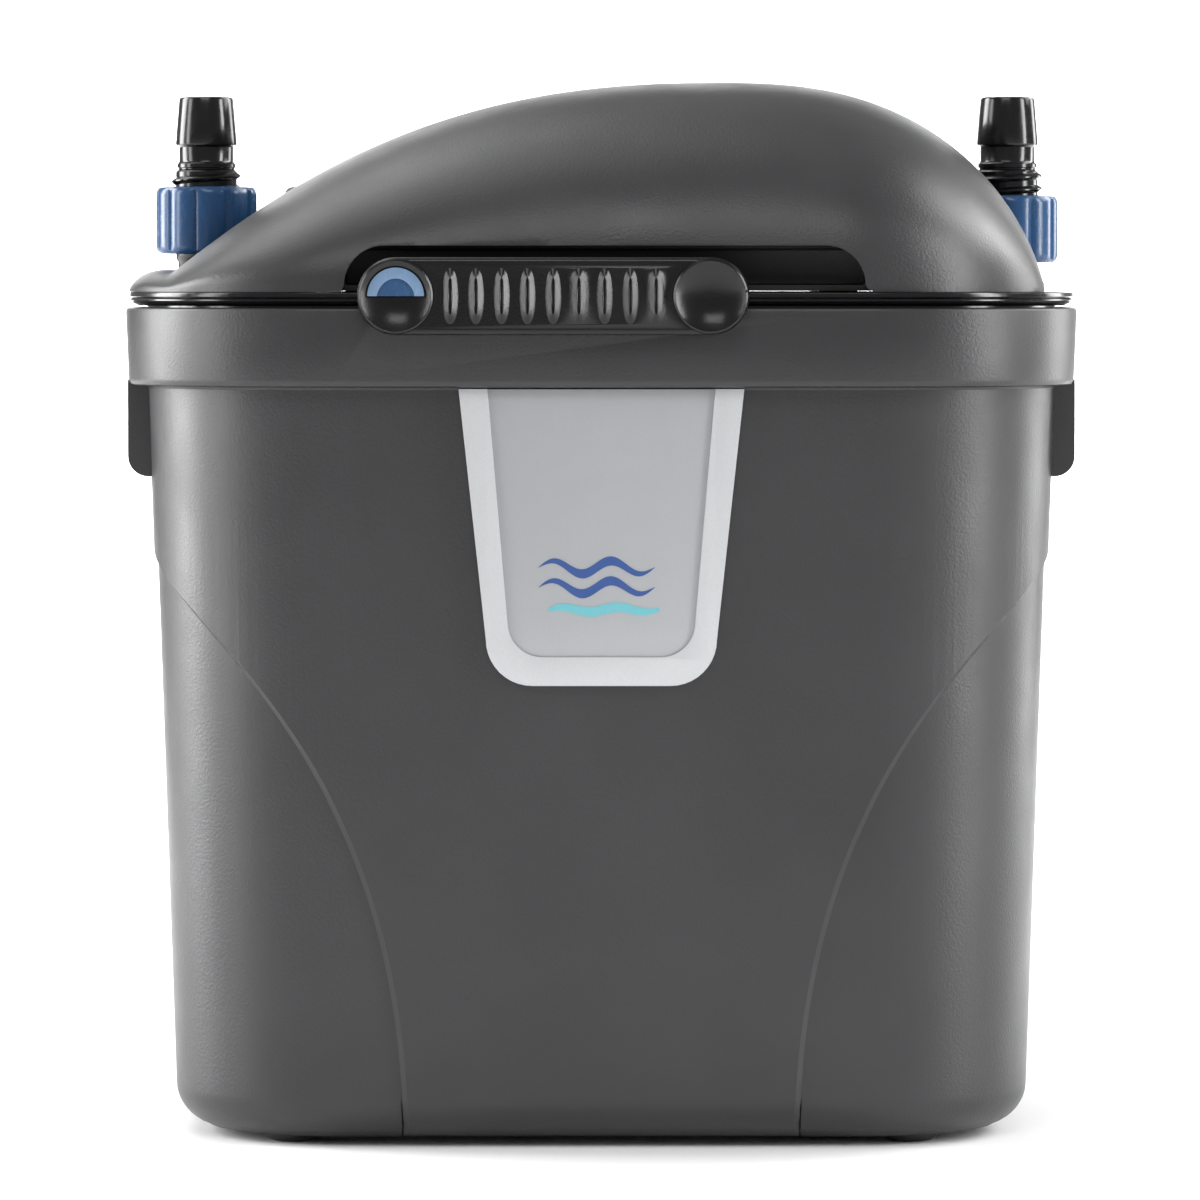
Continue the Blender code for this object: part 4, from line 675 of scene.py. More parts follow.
def canister_profile():
    """(inset, z) points up the outside, over the rim and down the inside."""
    outside = []
    for step in range(11):
        angle = math.pi / 2 * step / 10
        z = BODY_BOTTOM + BASE_ROUND * (1 - math.cos(angle))
        outside.append((body_inset(z) + BASE_ROUND * (1 - math.sin(angle)), z))
    inner_round = BASE_ROUND - WALL
    profile = outside + [
        (RIM_PROUD + 0.0001, BAND_BOTTOM - 0.0006),
        (RIM_PROUD - 0.0003, BAND_BOTTOM - 0.0001),
        (RIM_PROUD - 0.0008, BAND_BOTTOM),
        (BAND_DRAFT + 0.0014, BAND_BOTTOM),
        (BAND_DRAFT + 0.0005, BAND_BOTTOM + 0.0003),
        (BAND_DRAFT + 0.0001, BAND_BOTTOM + 0.0009),
        (BAND_DRAFT, BAND_BOTTOM + 0.0016),
        (0.0, RIM_TOP - 0.0008),
        (0.0002, RIM_TOP - 0.0003),
        (0.0007, RIM_TOP),
        (RIM_LIP - 0.0005, RIM_TOP),
        (RIM_LIP, RIM_TOP - 0.0005),
        (RIM_LIP, SEAL_SHELF),
        (body_inset(BAND_BOTTOM) + WALL, SEAL_SHELF),
    ]
    for step in reversed(range(7)):
        angle = math.pi / 2 * step / 6
        z = FLOOR_TOP + inner_round * (1 - math.cos(angle))
        profile.append((body_inset(z) + WALL + inner_round * (1 - math.sin(angle)), z))
    return profile


def make_canister(mats):
    """The bucket: rim and floor in one, a flap and an arch at each end, a slot for the slide's hooks."""
    canister = rim_solid("canister_shell", canister_profile(), mats["grey_plastic"])
    carve(canister, flap_solid(-1), flap_solid(1), operation="UNION")
    carve(canister, arch_tool(-1), arch_tool(1))
    hook_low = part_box("slide_hook_left")[0]
    hook_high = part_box("slide_hook_right")[1]
    slot_low = (hook_low.x - 0.001, -RIM_HALF_Y - 0.001, hook_low.z - 0.001)
    slot_high = (hook_high.x + SLIDE_TRAVEL + 0.001, -RIM_HALF_Y + 0.0030, RIM_TOP + 0.001)
    carve(canister, block(slot_low, slot_high, "hook_slot_tool"))
    show(canister, "canister", "grey_plastic", "canister")


def make_feet(mats):
    """Domed rubber feet with a flat tread."""
    for end in ("front", "rear"):
        for side in ("left", "right"):
            node = f"foot_{end}_{side}"
            low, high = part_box(node)
            radius = (high.x - low.x) / 2
            middle = middle_of(node)
            tread, tall = radius * 0.5, high.z - low.z + GAP
            profile = [(0.0, 0.0), (tread, 0.0)]
            for step in range(1, 9):
                angle = math.pi / 2 * step / 8
                profile.append(
                    (tread + (radius - tread) * math.sin(angle), tall * (1 - math.cos(angle)))
                )
            profile.append((0.0, tall))
            foot = turned(profile, f"{node}_dome", mats["seal_rubber"], (middle.x, middle.y, 0.0), 48)
            show(foot, "canister", "seal_rubber", node)


# Badge


def badge_wall_y(z, out):
    """Y of a surface that stands out from the sloping front wall."""
    return -RIM_HALF_Y + body_inset(z) - out


def shield(name, inset, back, front, finish):
    """A plate with the badge's outline, on the front wall."""
    corner = BADGE_CORNER - inset * 0.4
    lower_x = BADGE_HALF_BOTTOM - inset * 0.75
    lower_z = -BADGE_HEIGHT + inset
    outline = [(BADGE_HALF_TOP - inset, 0.0), (-BADGE_HALF_TOP + inset, 0.0)]
    for side, start in ((-1, 180), (1, 270)):
        outline += arc(side * (lower_x - corner), lower_z + corner, corner, start, start + 90, 10)
    top = BAND_BOTTOM - GAP
    bm = bmesh.new()
    verts = [bm.verts.new((x, badge_wall_y(top + up, back), top + up)) for x, up in outline]
    face = bm.faces.new(verts)
    made = bmesh.ops.extrude_face_region(bm, geom=[face], use_keep_orig=True)["geom"]
    moved = [part for part in made if isinstance(part, bmesh.types.BMVert)]
    bmesh.ops.translate(bm, vec=(0.0, back - front, 0.0), verts=moved)
    return to_piece(bm, name, finish)


def make_badge(mats):
    """A silver surround open at its top, and a grey film sunk in it."""
    frame_piece = shield("badge_surround", 0.0, GAP, GAP + BADGE_THICK, mats["badge_silver"])
    hole = shield("badge_hole_tool", BADGE_BORDER, GAP - 0.002, GAP + BADGE_THICK + 0.002, None)
    mouth = block(
        (-BADGE_HALF_TOP + BADGE_BORDER, -RIM_HALF_Y - 0.01, BAND_BOTTOM - GAP - 0.001),
        (BADGE_HALF_TOP - BADGE_BORDER, 0.0, BAND_BOTTOM + 0.01),
        "badge_top_tool",
    )
    carve(frame_piece, hole, mouth)
    round_edges(frame_piece, 0.00035, 3)
    show(frame_piece, "canister", "badge_silver", "badge_frame")
    film = shield(
        "badge_film", BADGE_BORDER - 0.0003, GAP, GAP + BADGE_THICK - PANEL_SUNK, mats["badge_grey"]
    )
    round_edges(film, 0.0002, 2)
    show(film, "canister", "badge_grey", "badge_panel")
    make_emblem(mats)


def wave_ribbon(name, finish, ends, z, height, width, taper):
    """A printed stroke that rises and falls twice, like water, and is pointed at its ends."""
    left, right = ends
    waves = 2.0
    steps = 64
    bm = bmesh.new()
    bmesh.ops.create_grid(bm, x_segments=steps, y_segments=2, size=0.5)
    out = GAP + BADGE_THICK - PANEL_SUNK
    for vert in bm.verts:
        share = vert.co.x + 0.5
        swing = math.sin(share * waves * 2 * math.pi)
        thick = width * max(math.sin(math.pi * share), 0.02) ** taper
        up = z + height * swing + vert.co.y * thick
        x = left + (right - left) * share
        vert.co = (x, badge_wall_y(up, out + 0.00001), up)
    made = bmesh.ops.extrude_face_region(bm, geom=bm.faces[:], use_keep_orig=True)["geom"]
    moved = [part for part in made if isinstance(part, bmesh.types.BMVert)]
    bmesh.ops.translate(bm, vec=(0.0, -0.00008, 0.0), verts=moved)
    ribbon = to_piece(bm, name, finish)
    return show(ribbon, "canister", "badge_grey")


def make_emblem(mats):
    """A plain water sign: two blue waves over a teal one."""
    for index, z in enumerate((0.1265, 0.1222)):
        name = f"emblem_wave_{index}"
        wave_ribbon(name, mats["emblem_blue"], (-0.0135, 0.0115), z, 0.0014, 0.0021, 0.7)
    wave_ribbon("emblem_wave_low", mats["emblem_teal"], (-0.0115, 0.0125), 0.1174, 0.0005, 0.0022, 0.35)


# Lid plate and seal


def make_lid_plate(mats):
    """The plate with its grooved edge, the plug ring below, the rotor's well and all the holes."""
    low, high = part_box("lid_plate")
    top = HOOD_BASE - GAP
    bottom = top - PLATE
    plug_low = low.z
    edge = RIM_HALF_X - high.x
    plug = RIM_LIP + 0.0006
    profile = [
        (plug + PLUG_WALL, plug_low),
        (plug + 0.0004, plug_low),
        (plug, plug_low + 0.0004),
        (plug, bottom),
        (edge + 0.0022, bottom),
        (edge + 0.0006, bottom + 0.0007),
        (edge + 0.0002, bottom + 0.0011),
        (edge + 0.0002, bottom + 0.0014),
        (edge + 0.0005, bottom + 0.0016),
        (edge + 0.0002, bottom + 0.0018),
        (edge, bottom + 0.0020),
        (edge, top - 0.0005),
        (edge + 0.0001, top - 0.0002),
        (edge + 0.0004, top),
    ]
    plate = rim_solid("lid_plate_moulding", profile, mats["gloss_black"])
    inside = plug + PLUG_WALL
    hollow = rim_solid("plug_hollow_tool", [(inside, plug_low - 0.001), (inside, bottom)])
    carve(plate, hollow)
    rotor_low, rotor_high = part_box("rotor_magnet")
    bore = (rotor_high.x - rotor_low.x) / 2 + WELL_CLEAR
    axis = middle_of("rotor_magnet")
    well = rod("well_wall", axis.x, axis.y, bore + WELL_WALL, top - 0.0020, high.z)
    carve(plate, well, operation="UNION")
    tools = [rod("well_tool", axis.x, axis.y, bore, plug_low - 0.001, high.z - WELL_WALL)]
    holes = [("left_water_hole", INLET, HOSE_BORE), ("right_water_hole", OUTLET, HOSE_BORE)]
    holes += [(f"{node}_hole", middle_of(node), SCREW_HOLE) for node in SCREWS]
    for name, axis, radius in holes:
        tools.append(rod(f"{name}_tool", axis.x, axis.y, radius, bottom - 0.001, top + 0.001))
    carve(plate, *tools)
    show(plate, "head", "black_plastic", "lid_plate")


def rim_loop(bm, inset, z):
    """A loop of points on the rim's outline moved in by inset."""
    loop = []
    steps = 12
    reach = RIM_CORNER - inset
    for quarter, (side_x, side_y) in enumerate(((1, 1), (-1, 1), (-1, -1), (1, -1))):
        for step in range(steps + 1):
            angle = (quarter + step / steps) * math.pi / 2
            x = side_x * CORE.x + reach * math.cos(angle)
            y = side_y * CORE.y + reach * math.sin(angle)
            loop.append(bm.verts.new((x, y, z)))
    return loop


def make_head_seal(mats):
    """A round cord of rubber that lies on the rim's shelf."""
    low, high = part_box("head_seal")
    outer = RIM_HALF_X - high.x
    wide = 0.0029
    bm = bmesh.new()
    tall = high.z - low.z
    profile = arc(outer + wide / 2, low.z + tall / 2, min(wide, tall) / 2, 0, 360, 14)[:-1]
    loops = []
    for inset, z in profile:
        loops.append(rim_loop(bm, inset, z))
    for near, far in zip(loops, loops[1:] + loops[:1]):
        for step, vert in enumerate(near):
            bm.faces.new((near[step - 1], vert, far[step], far[step - 1]))
    seal = to_piece(bm, "head_seal_ring", mats["seal_rubber"], sharp=60.0)
    show(seal, "head", "seal_rubber", "head_seal")


# Hood


def hood_height(x, left, right, rise):
    """Height of the hood's crest above its base: a long slope left of the peak, a short round
    one right of it, and a low deck at the left end."""
    peak = HOOD_PEAK_X
    if x >= peak:
        share = min((x - peak) / (right - peak), 1.0)
        return rise * (1 - share**HOOD_END_POWER) ** (1 / HOOD_END_ROUND)
    start = left + 0.0096
    slope = rise - (rise - HOOD_DECK * 0.95) * ((peak - x) / (peak - start)) ** HOOD_SLOPE_POWER
    deck = HOOD_DECK * math.sqrt(max(1 - (1 - min((x - left) / 0.0060, 1.0)) ** 2, 0.0))
    return max(slope if x > start else 0.0, deck)


def hood_half_depth(x, left, right, half, corner):
    in_corner = max(left + corner - x, x - (right - corner), 0.0)
    return half - corner + math.sqrt(max(corner**2 - in_corner**2, 0.0))


def dome(name, inset, base, finish=None, columns=120, rows=72):
    """The hood's outer form moved in by inset, as a closed solid on a flat base."""
    left, right = HOOD_LOW.x + inset, HOOD_HIGH.x - inset
    half, corner = HOOD_HALF_DEPTH - inset, RIM_CORNER - inset
    rise = HOOD_RISE - inset
    bm = bmesh.new()
    bmesh.ops.create_grid(bm, x_segments=columns, y_segments=rows, size=0.5)
    for vert in bm.verts:
        turn_x = math.pi * (vert.co.x + 0.5)
        turn_y = math.pi * (vert.co.y + 0.5)
        x = (left + right) / 2 - math.cos(turn_x) * (right - left) / 2
        deep = hood_half_depth(x, left, right, half, corner)
        y = -math.copysign(abs(math.cos(turn_y)) ** 0.9, math.cos(turn_y)) * deep
        up = max(1 - (abs(y) / deep) ** HOOD_DEPTH_POWER, 0.0) ** (1 / HOOD_DEPTH_POWER)
        z = HOOD_BASE + hood_height(x, left, right, rise) * up
        vert.co = (x, y, base if vert.is_boundary else z)
    edges = [edge for edge in bm.edges if edge.is_boundary]
    bmesh.ops.triangle_fill(bm, use_beauty=True, edges=edges)
    return to_piece(bm, name, finish)


def bay_tool(name, x, radius, floor):
    """The space for a connector: round inside, open to the end and the rear."""
    out = math.copysign(0.04, x)
    turn = -math.copysign(1.0, x)
    outline = [(x + out, PORT_Y - radius)]
    for step in range(25):
        angle = -math.pi / 2 + math.pi / 2 * step / 24
        outline.append((x + turn * radius * math.cos(angle), PORT_Y + radius * math.sin(angle)))
    outline += [(x + turn * radius, PORT_Y + 0.06), (x + out, PORT_Y + 0.06)]
    return prism(outline, floor, HOOD_BASE + HOOD_RISE + 0.01, name)


def window_tool():
    """The window's outline: round upper corners, and a small flare where it meets the edge."""
    low, high = HOOD_BASE - 0.002, HOOD_BASE + WINDOW_HEIGHT
    flare = WINDOW_FLARE
    outline = [(WINDOW_LEFT - flare, low), (WINDOW_RIGHT + flare, low)]
    outline += [
        (WINDOW_RIGHT + flare - x + WINDOW_RIGHT, z)
        for x, z in arc(WINDOW_RIGHT, HOOD_BASE + flare, flare, -90, -10, 5)
    ]
    outline += arc(WINDOW_RIGHT - WINDOW_CORNER, high - WINDOW_CORNER, WINDOW_CORNER, 5, 90, 12)
    outline += arc(WINDOW_LEFT + WINDOW_CORNER, high - WINDOW_CORNER, WINDOW_CORNER, 90, 180, 12)
    return prism(outline, -RIM_HALF_Y - 0.01, -HOOD_HALF_DEPTH + 0.0100, "window_tool", along="Y")


def add_screw_bosses(hood):
    """Posts that the four lid screws bite into, trimmed to the hood's inner face."""
    for node in SCREWS:
        axis = middle_of(node)
        tall = HOOD_BASE + 0.040
        boss = rod(f"{node}_boss", axis.x, axis.y, BOSS_RADIUS, HOOD_BASE - SEAM, tall)
        inner = dome(f"{node}_trim_tool", HOOD_WALL * 0.5, HOOD_BASE - 0.002, columns=60, rows=36)
        carve(boss, inner, operation="INTERSECT")
        carve(hood, boss, operation="UNION")
        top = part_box(node)[1].z + 0.0010
        carve(hood, rod(f"{node}_hole_tool", axis.x, axis.y, SCREW_HOLE, HOOD_BASE - 0.002, top))


def make_hood(mats):
    """The hood: a hollow dome with a bay at each connector, a block for the lead, and a window."""
    hood = dome("hood_shell", 0.0, HOOD_BASE - SEAM, mats["grey_plastic"])
    middle = middle_of("cable_gland")
    boss = block(
        (middle.x - 0.0080, 0.0400, HOOD_BASE + 0.004),
        (middle.x + 0.0080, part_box("cable_gland")[0].y - GAP, HOOD_BASE + 0.0238),
        "gland_block",
        radius=0.0018,
    )
    carve(hood, boss, operation="UNION")
    hollow = dome("hood_hollow_tool", HOOD_WALL, HOOD_BASE - 0.001, columns=60, rows=36)
    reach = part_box("left_union_nut")[1].x - INLET.x + 0.0024
    tools = []
    walls = []
    for side, port in (("left", INLET), ("right", OUTLET)):
        tools.append(bay_tool(f"{side}_bay_tool", port.x, reach, HOOD_BASE + HOOD_DECK))
        floor = HOOD_BASE + HOOD_DECK - HOOD_WALL
        walls.append(bay_tool(f"{side}_bay_wall_tool", port.x, reach + HOOD_WALL, floor))
    carve(hood, *tools)
    carve(hollow, *walls)
    carve(hood, hollow)
    low, high = HOOD_BASE - 0.001, HOOD_BASE + 0.006
    holes = [
        rod(f"{side}_port_tool", port.x, port.y, PORT_RADIUS, low, high, 64)
        for side, port in (("left", INLET), ("right", OUTLET))
    ]
    carve(hood, *holes, window_tool())
    add_screw_bosses(hood)
    lead_hole = turned(
        [(0.0, 0.0), (LEAD_HOLE, 0.0), (LEAD_HOLE, 0.0500), (0.0, 0.0500)],
        "lead_hole_tool",
        at=(middle.x, 0.0300, middle.z),
        steps=48,
        along="Y",
    )
    carve(hood, lead_hole)
    round_edges(hood, 0.0005, 3, 50.0)
    show(hood, "head", "grey_plastic", "hood")


def make_latch_channel(mats):
    """The guide behind the window, with a lip along the top of its mouth. Its extra-dark black is painted
    shade for the inside of the window.
    """
    low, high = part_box("latch_channel")
    # Painted shade: the guide takes the extra-dark shadow_black finish, for the shade inside the window.
    channel = block(low, high, "latch_guide", mats["shadow_black"])
    wall = 0.0012
    hollow = block(
        (low.x + wall, low.y - 0.002, low.z + wall),
        (high.x - wall, high.y - wall, high.z - wall),
        "guide_hollow_tool",
        radius=0.0008,
    )
    carve(channel, hollow)
    trim = dome("guide_trim_tool", HOOD_WALL + 0.0002, HOOD_BASE - 0.001, columns=60, rows=36)
    carve(channel, trim, operation="INTERSECT")
    show(channel, "head", "black_plastic", "latch_channel")


# Connectors


def thread_ridge(bm, x, y, low, high):
    """A helical ridge on the spigot, swept by a spin that climbs one pitch each turn."""
    turns = (high - low) / THREAD_PITCH
    per_turn = 48
    steps = int(turns * per_turn)
    half = THREAD_PITCH * 0.36
    inner = THREAD_CORE - 0.0003
    points = (
        (inner, -half),
        (THREAD_RADIUS - 0.0003, -half * 0.42),
        (THREAD_RADIUS, -half * 0.15),
        (THREAD_RADIUS, half * 0.15),
        (THREAD_RADIUS - 0.0003, half * 0.42),
        (inner, half),
    )
    verts = [bm.verts.new((x + radius, y, low + up)) for radius, up in points]
    face = bm.faces.new(verts)
    bmesh.ops.spin(
        bm,
        geom=[face],
        cent=(x, y, 0.0),
        axis=(0.0, 0.0, 1.0),
        dvec=(0.0, 0.0, (high - low) / steps),
        angle=2 * math.pi * turns,
        steps=steps,
        use_merge=False,
    )


def make_hose_tail(name, node, port, finish):
    """A connector: flange, threaded spigot, ring, neck and the cone that the hose pushes over."""
    bore = HOSE_BORE
    cone = TAIL_TOP - 0.0108
    neck = cone - 0.0041
    thread_top = neck - 0.0018
    thread_low = thread_top - 0.0200
    profile = [
        (bore, TAIL_BOTTOM),
        (0.0083, TAIL_BOTTOM),
        (0.0086, TAIL_BOTTOM + 0.0003),
        (0.0086, TAIL_BOTTOM + 0.0017),
        (0.0083, TAIL_BOTTOM + 0.0020),
        (0.0068, TAIL_BOTTOM + 0.0020),
        (0.0065, TAIL_BOTTOM + 0.0024),
        (0.0065, thread_low - 0.0008),
        (THREAD_CORE, thread_low),
        (THREAD_CORE, thread_top - 0.0003),
        (0.0064, thread_top + 0.0003),
        (0.0064, neck - 0.0013),
        (0.0067, neck - 0.0011),
        (0.0067, neck - 0.0003),
        (0.0064, neck),
        (0.0062, neck + 0.0004),
        (0.0062, cone - 0.0006),
        (0.0065, cone - 0.0003),
        (0.0069, cone - 0.0001),
        (0.0070, cone + 0.0003),
        (0.0062, TAIL_TOP - 0.0006),
        (0.0060, TAIL_TOP - 0.0002),
        (0.0056, TAIL_TOP),
        (bore + 0.0003, TAIL_TOP),
        (bore, TAIL_TOP - 0.0003),
    ]
    tail = turned(profile, name, finish, (port.x, port.y, 0.0), 72)
    bm = bmesh.new()
    thread_ridge(bm, port.x, port.y, thread_low + 0.0018, thread_top - 0.0012)
    ridge = to_piece(bm, f"{name}_thread_tool", merge=False)
    carve(tail, ridge, operation="UNION")
    show(tail, "head", "gloss_black", node)


def make_union_nut(side, port, finish):
    """A nut with ten shallow flutes, round shoulders and a lip inside its top."""
    low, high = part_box(f"{side}_union_nut")
    radius = port.x - low.x
    bottom, top = low.z, high.z
    flutes, per_flute = 10, 12
    bm = bmesh.new()
    bmesh.ops.create_circle(bm, cap_ends=True, radius=radius, segments=flutes * per_flute)
    face = bm.faces[:][0]
    shoulders = [(0.0016, 0.0), (0.0007, 0.0002), (0.0002, 0.0008), (0.0, 0.0018)]
    profile = shoulders + [(inset, top - bottom - up) for inset, up in reversed(shoulders)]

    def shape(verts, inset, up):
        depth = 0.00075 * min(up / 0.0018, (top - bottom - up) / 0.0018, 1.0)
        for vert in verts:
            angle = math.atan2(vert.co.y, vert.co.x)
            wave = abs(math.cos((angle + math.radians(9)) * flutes / 2)) ** 0.6
            reach = radius - inset - depth * (1 - wave)
            vert.co.x = reach * math.cos(angle)
            vert.co.y = reach * math.sin(angle)
            vert.co.z = bottom + up

    shape(face.verts, *profile[0])
    made = bmesh.ops.extrude_face_region(bm, geom=[face], use_keep_orig=True)["geom"]
    face = next(part for part in made if isinstance(part, bmesh.types.BMFace))
    shape(face.verts, *profile[1])
    for inset, up in profile[2:]:
        made = bmesh.ops.extrude_face_region(bm, geom=[face])["geom"]
        bmesh.ops.delete(bm, geom=[face], context="FACES_ONLY")
        face = next(part for part in made if isinstance(part, bmesh.types.BMFace))
        shape(face.verts, inset, up)
    bmesh.ops.translate(bm, vec=(port.x, port.y, 0.0), verts=bm.verts)
    nut = to_piece(bm, f"{side}_fluted_nut", finish)
    bore = radius - 0.0021
    lip = THREAD_RADIUS + RUNNING
    shelf = top - 0.0028
    mouth = lip + 0.0005
    profile = [(0.0, bottom - 0.001), (bore, bottom - 0.001), (bore, shelf), (lip, shelf)]
    profile += [(lip, top - 0.0004), (mouth, top + 0.0001), (mouth, top + 0.001), (0.0, top + 0.001)]
    tool = turned(profile, f"{side}_nut_bore_tool", at=(port.x, port.y, 0.0))
    carve(nut, tool)
    show(nut, f"{side}_union_nut", "connector_blue", f"{side}_union_nut")


def make_clamp_ring(side, port, finish):
    """The sleeve inside a nut, its edges eased."""
    low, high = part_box(f"{side}_clamp_ring")
    outer = high.x - port.x
    inner = THREAD_RADIUS + RUNNING
    edge = 0.0002
    profile = [
        (inner, low.z),
        (outer - edge, low.z),
        (outer, low.z + edge),
        (outer, high.z - edge),
        (outer - edge, high.z),
        (inner, high.z),
    ]
    ring = turned(profile, f"{side}_clamp_sleeve", finish, (port.x, port.y, 0.0), 48)
    show(ring, f"{side}_clamp_ring", "gloss_black", f"{side}_clamp_ring")


def make_connectors(mats):
    ports = (("left", INLET, "inlet_hose_tail"), ("right", OUTLET, "outlet_hose_tail"))
    for side, port, node in ports:
        make_hose_tail(f"{side}_connector", node, port, mats["gloss_black"])
        make_union_nut(side, port, mats["connector_blue"])
        make_clamp_ring(side, port, mats["gloss_black"])


def make_cable_gland(mats):
    """A ribbed rubber collar with a bore for the lead."""
    low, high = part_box("cable_gland")
    middle = middle_of("cable_gland")
    outer = (high.x - low.x) / 2
    bore = 0.0033
    start, end = low.y, high.y
    profile = [(bore, start), (outer - 0.0003, start), (outer, start + 0.0003)]
    profile += [(outer, start + 0.0019), (outer - 0.0003, start + 0.0022)]
    profile.append((outer - 0.0012, start + 0.0026))
    for rib in range(3):
        at = start + 0.0030 + rib * 0.0015
        profile += [(outer - 0.0016, at), (outer - 0.0014, at + 0.0003), (outer - 0.0014, at + 0.0008),
                    (outer - 0.0016, at + 0.0011)]
    profile += [(outer - 0.0018, end - 0.0004), (outer - 0.0022, end), (bore + 0.0003, end),
                (bore, end - 0.0003)]
    gland = turned(profile, "lead_collar", mats["seal_rubber"], (middle.x, 0.0, middle.z), 48, along="Y")
    show(gland, "head", "seal_rubber", "cable_gland")


# Slide lock


def stadium():
    """(x, z) points of the slide: straight above and below, round at both ends."""
    points = []
    for middle, start in ((DISH_RIGHT_X, -90), (DISH_LEFT_X, 90)):
        points += arc(middle, SLIDE_MID, SLIDE_END, start, start + 180, 20)
    return points


def half_disc(radius, grow=0.0):
    """(x, z) points of the button's shape, which grow moves out on all sides."""
    reach = radius + grow
    points = [(DISH_LEFT_X - reach, SLIDE_MID - grow), (DISH_LEFT_X + reach, SLIDE_MID - grow)]
    return points + arc(DISH_LEFT_X, SLIDE_MID + 1e-5, reach, 0, 180, 24)


def dish_tool(name, x):
    """A bowl that dishes the slide's face, steep near its rim and flatter in the middle."""
    steps, mouth, edge = 18, DISH_RADIUS + 0.0004, 0.0002
    profile = [(0.0, -0.003), (mouth, -0.003), (mouth, -0.0004), (DISH_RADIUS, edge)]
    for step in range(1, steps + 1):
        share = 1 - step / steps
        profile.append((DISH_RADIUS * share, edge + (DISH_DEPTH - edge) * (1 - share**DISH_POWER)))
    return turned(profile, name, at=(x, SLIDE_FRONT, SLIDE_MID), steps=72, along="Y")


def rib_tool(name, x):
    """One grip rib: a pointed oval ridge with a groove along its middle."""
    tall, wide = 0.0060, 0.0017
    foot = SLIDE_FRONT + SLIDE_SUNK
    layers = [(-0.0008, 1.0), (0.0, 1.0), (0.00020, 0.85), (0.00040, 0.70), (0.00058, 0.55),
              (0.00077, 0.40), (0.00092, 0.28), (0.00095, 0.22), (0.00085, 0.15), (0.00055, 0.07)]

    def place_layer(verts, height, pull):
        for step, vert in enumerate(verts):
            angle = 2 * math.pi * step / len(verts)
            across = math.copysign(abs(math.cos(angle)) ** 0.85, math.cos(angle))
            vert.co.x = x + wide * pull * across
            vert.co.y = foot - height
            vert.co.z = SLIDE_MID + tall * (0.55 + pull * 0.45) * math.sin(angle)

    bm = bmesh.new()
    bmesh.ops.create_circle(bm, cap_ends=True, radius=1.0, segments=40)
    face = bm.faces[:][0]
    place_layer(face.verts, *layers[0])
    for index, (height, pull) in enumerate(layers[1:]):
        made = bmesh.ops.extrude_face_region(bm, geom=[face], use_keep_orig=index == 0)["geom"]
        if index:
            bmesh.ops.delete(bm, geom=[face], context="FACES_ONLY")
        face = next(part for part in made if isinstance(part, bmesh.types.BMFace))
        place_layer(face.verts, height, pull)
    return to_piece(bm, name)


def make_slide(mats):
    """The slide: a rounded bar dished at both ends, with nine grip ribs between."""
    face_y = SLIDE_FRONT + SLIDE_SUNK
    slide = prism(stadium(), SLIDE_BACK, face_y, "slide_bar", mats["slide_black"], along="Y")
    round_edges(slide, 0.0010, 6)
    collars = []
    for name, x in (("left", DISH_LEFT_X), ("right", DISH_RIGHT_X)):
        radius = SLIDE_END - 0.0002
        profile = [
            (0.0, 0.0030),
            (radius, 0.0030),
            (radius, 0.0010),
            (radius - 0.0002, 0.0004),
            (radius - 0.0007, 0.0),
            (0.0, 0.0),
        ]
        at = (x, SLIDE_FRONT, SLIDE_MID)
        collars.append(turned(profile, f"{name}_dish_collar", at=at, steps=72, along="Y"))
    tongue = block(
        (DISH_LEFT_X, SLIDE_BACK - 0.001, HOOD_BASE + 0.0029),
        (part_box("latch_channel")[1].x - 0.0327, SLIDE_HIGH.y, SLIDE_TOP - 0.0012),
        "slide_tongue",
        radius=0.0004,
    )
    carve(slide, *collars, tongue, operation="UNION")
    carve(slide, dish_tool("left_dish_tool", DISH_LEFT_X), dish_tool("right_dish_tool", DISH_RIGHT_X))
    centre = (SLIDE_LOW.x + SLIDE_HIGH.x) / 2
    ribs = [
        rib_tool(f"rib_{rib}", centre + (rib - RIB_COUNT // 2) * RIB_PITCH)
        for rib in range(RIB_COUNT)
    ]
    carve(slide, *ribs, operation="UNION")
    low_y, high_y = SLIDE_FRONT - 0.001, SLIDE_BACK - 0.0008
    carve(slide, prism(half_disc(0.0061, RUNNING), low_y, high_y, "pocket_tool", along="Y"))
    slide.data.set_sharp_from_angle(angle=math.radians(17))
    show(slide, "lock_slide", "black_plastic", "lock_slide")
    for side in ("left", "right"):
        node = f"slide_hook_{side}"
        low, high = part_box(node)
        hook = block(low, high, f"{node}_lug", mats["black_plastic"], radius=0.0004)
        show(hook, "lock_slide", "black_plastic", node)


def make_button(mats):
    """The release button: a darker half disc inside a pale raised rim."""
    low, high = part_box("lock_button")
    radius = (high.x - low.x) / 2

    def smaller(wide, tall, drop=0.0):
        return [
            (DISH_LEFT_X + (x - DISH_LEFT_X) * wide, SLIDE_MID - drop + (z - SLIDE_MID) * tall)
            for x, z in half_disc(radius)
        ]

    rim = prism(half_disc(radius), low.y, high.y, "button_rim", mats["button_rim"], along="Y")
    cup = smaller(0.68, 0.78, 0.001)
    carve(rim, prism(cup, low.y - 0.001, low.y + 0.0008, "button_cup_tool", along="Y"))
    round_edges(rim, 0.00025, 3)
    show(rim, "lock_button", "button_blue", "lock_button")
    start, end = low.y + 0.00025, low.y + 0.0009
    core = prism(smaller(0.67, 0.73), start, end, "button_centre", mats["button_blue"], along="Y")
    round_edges(core, 0.0002, 3)
    show(core, "lock_button", "button_blue")


# Inside


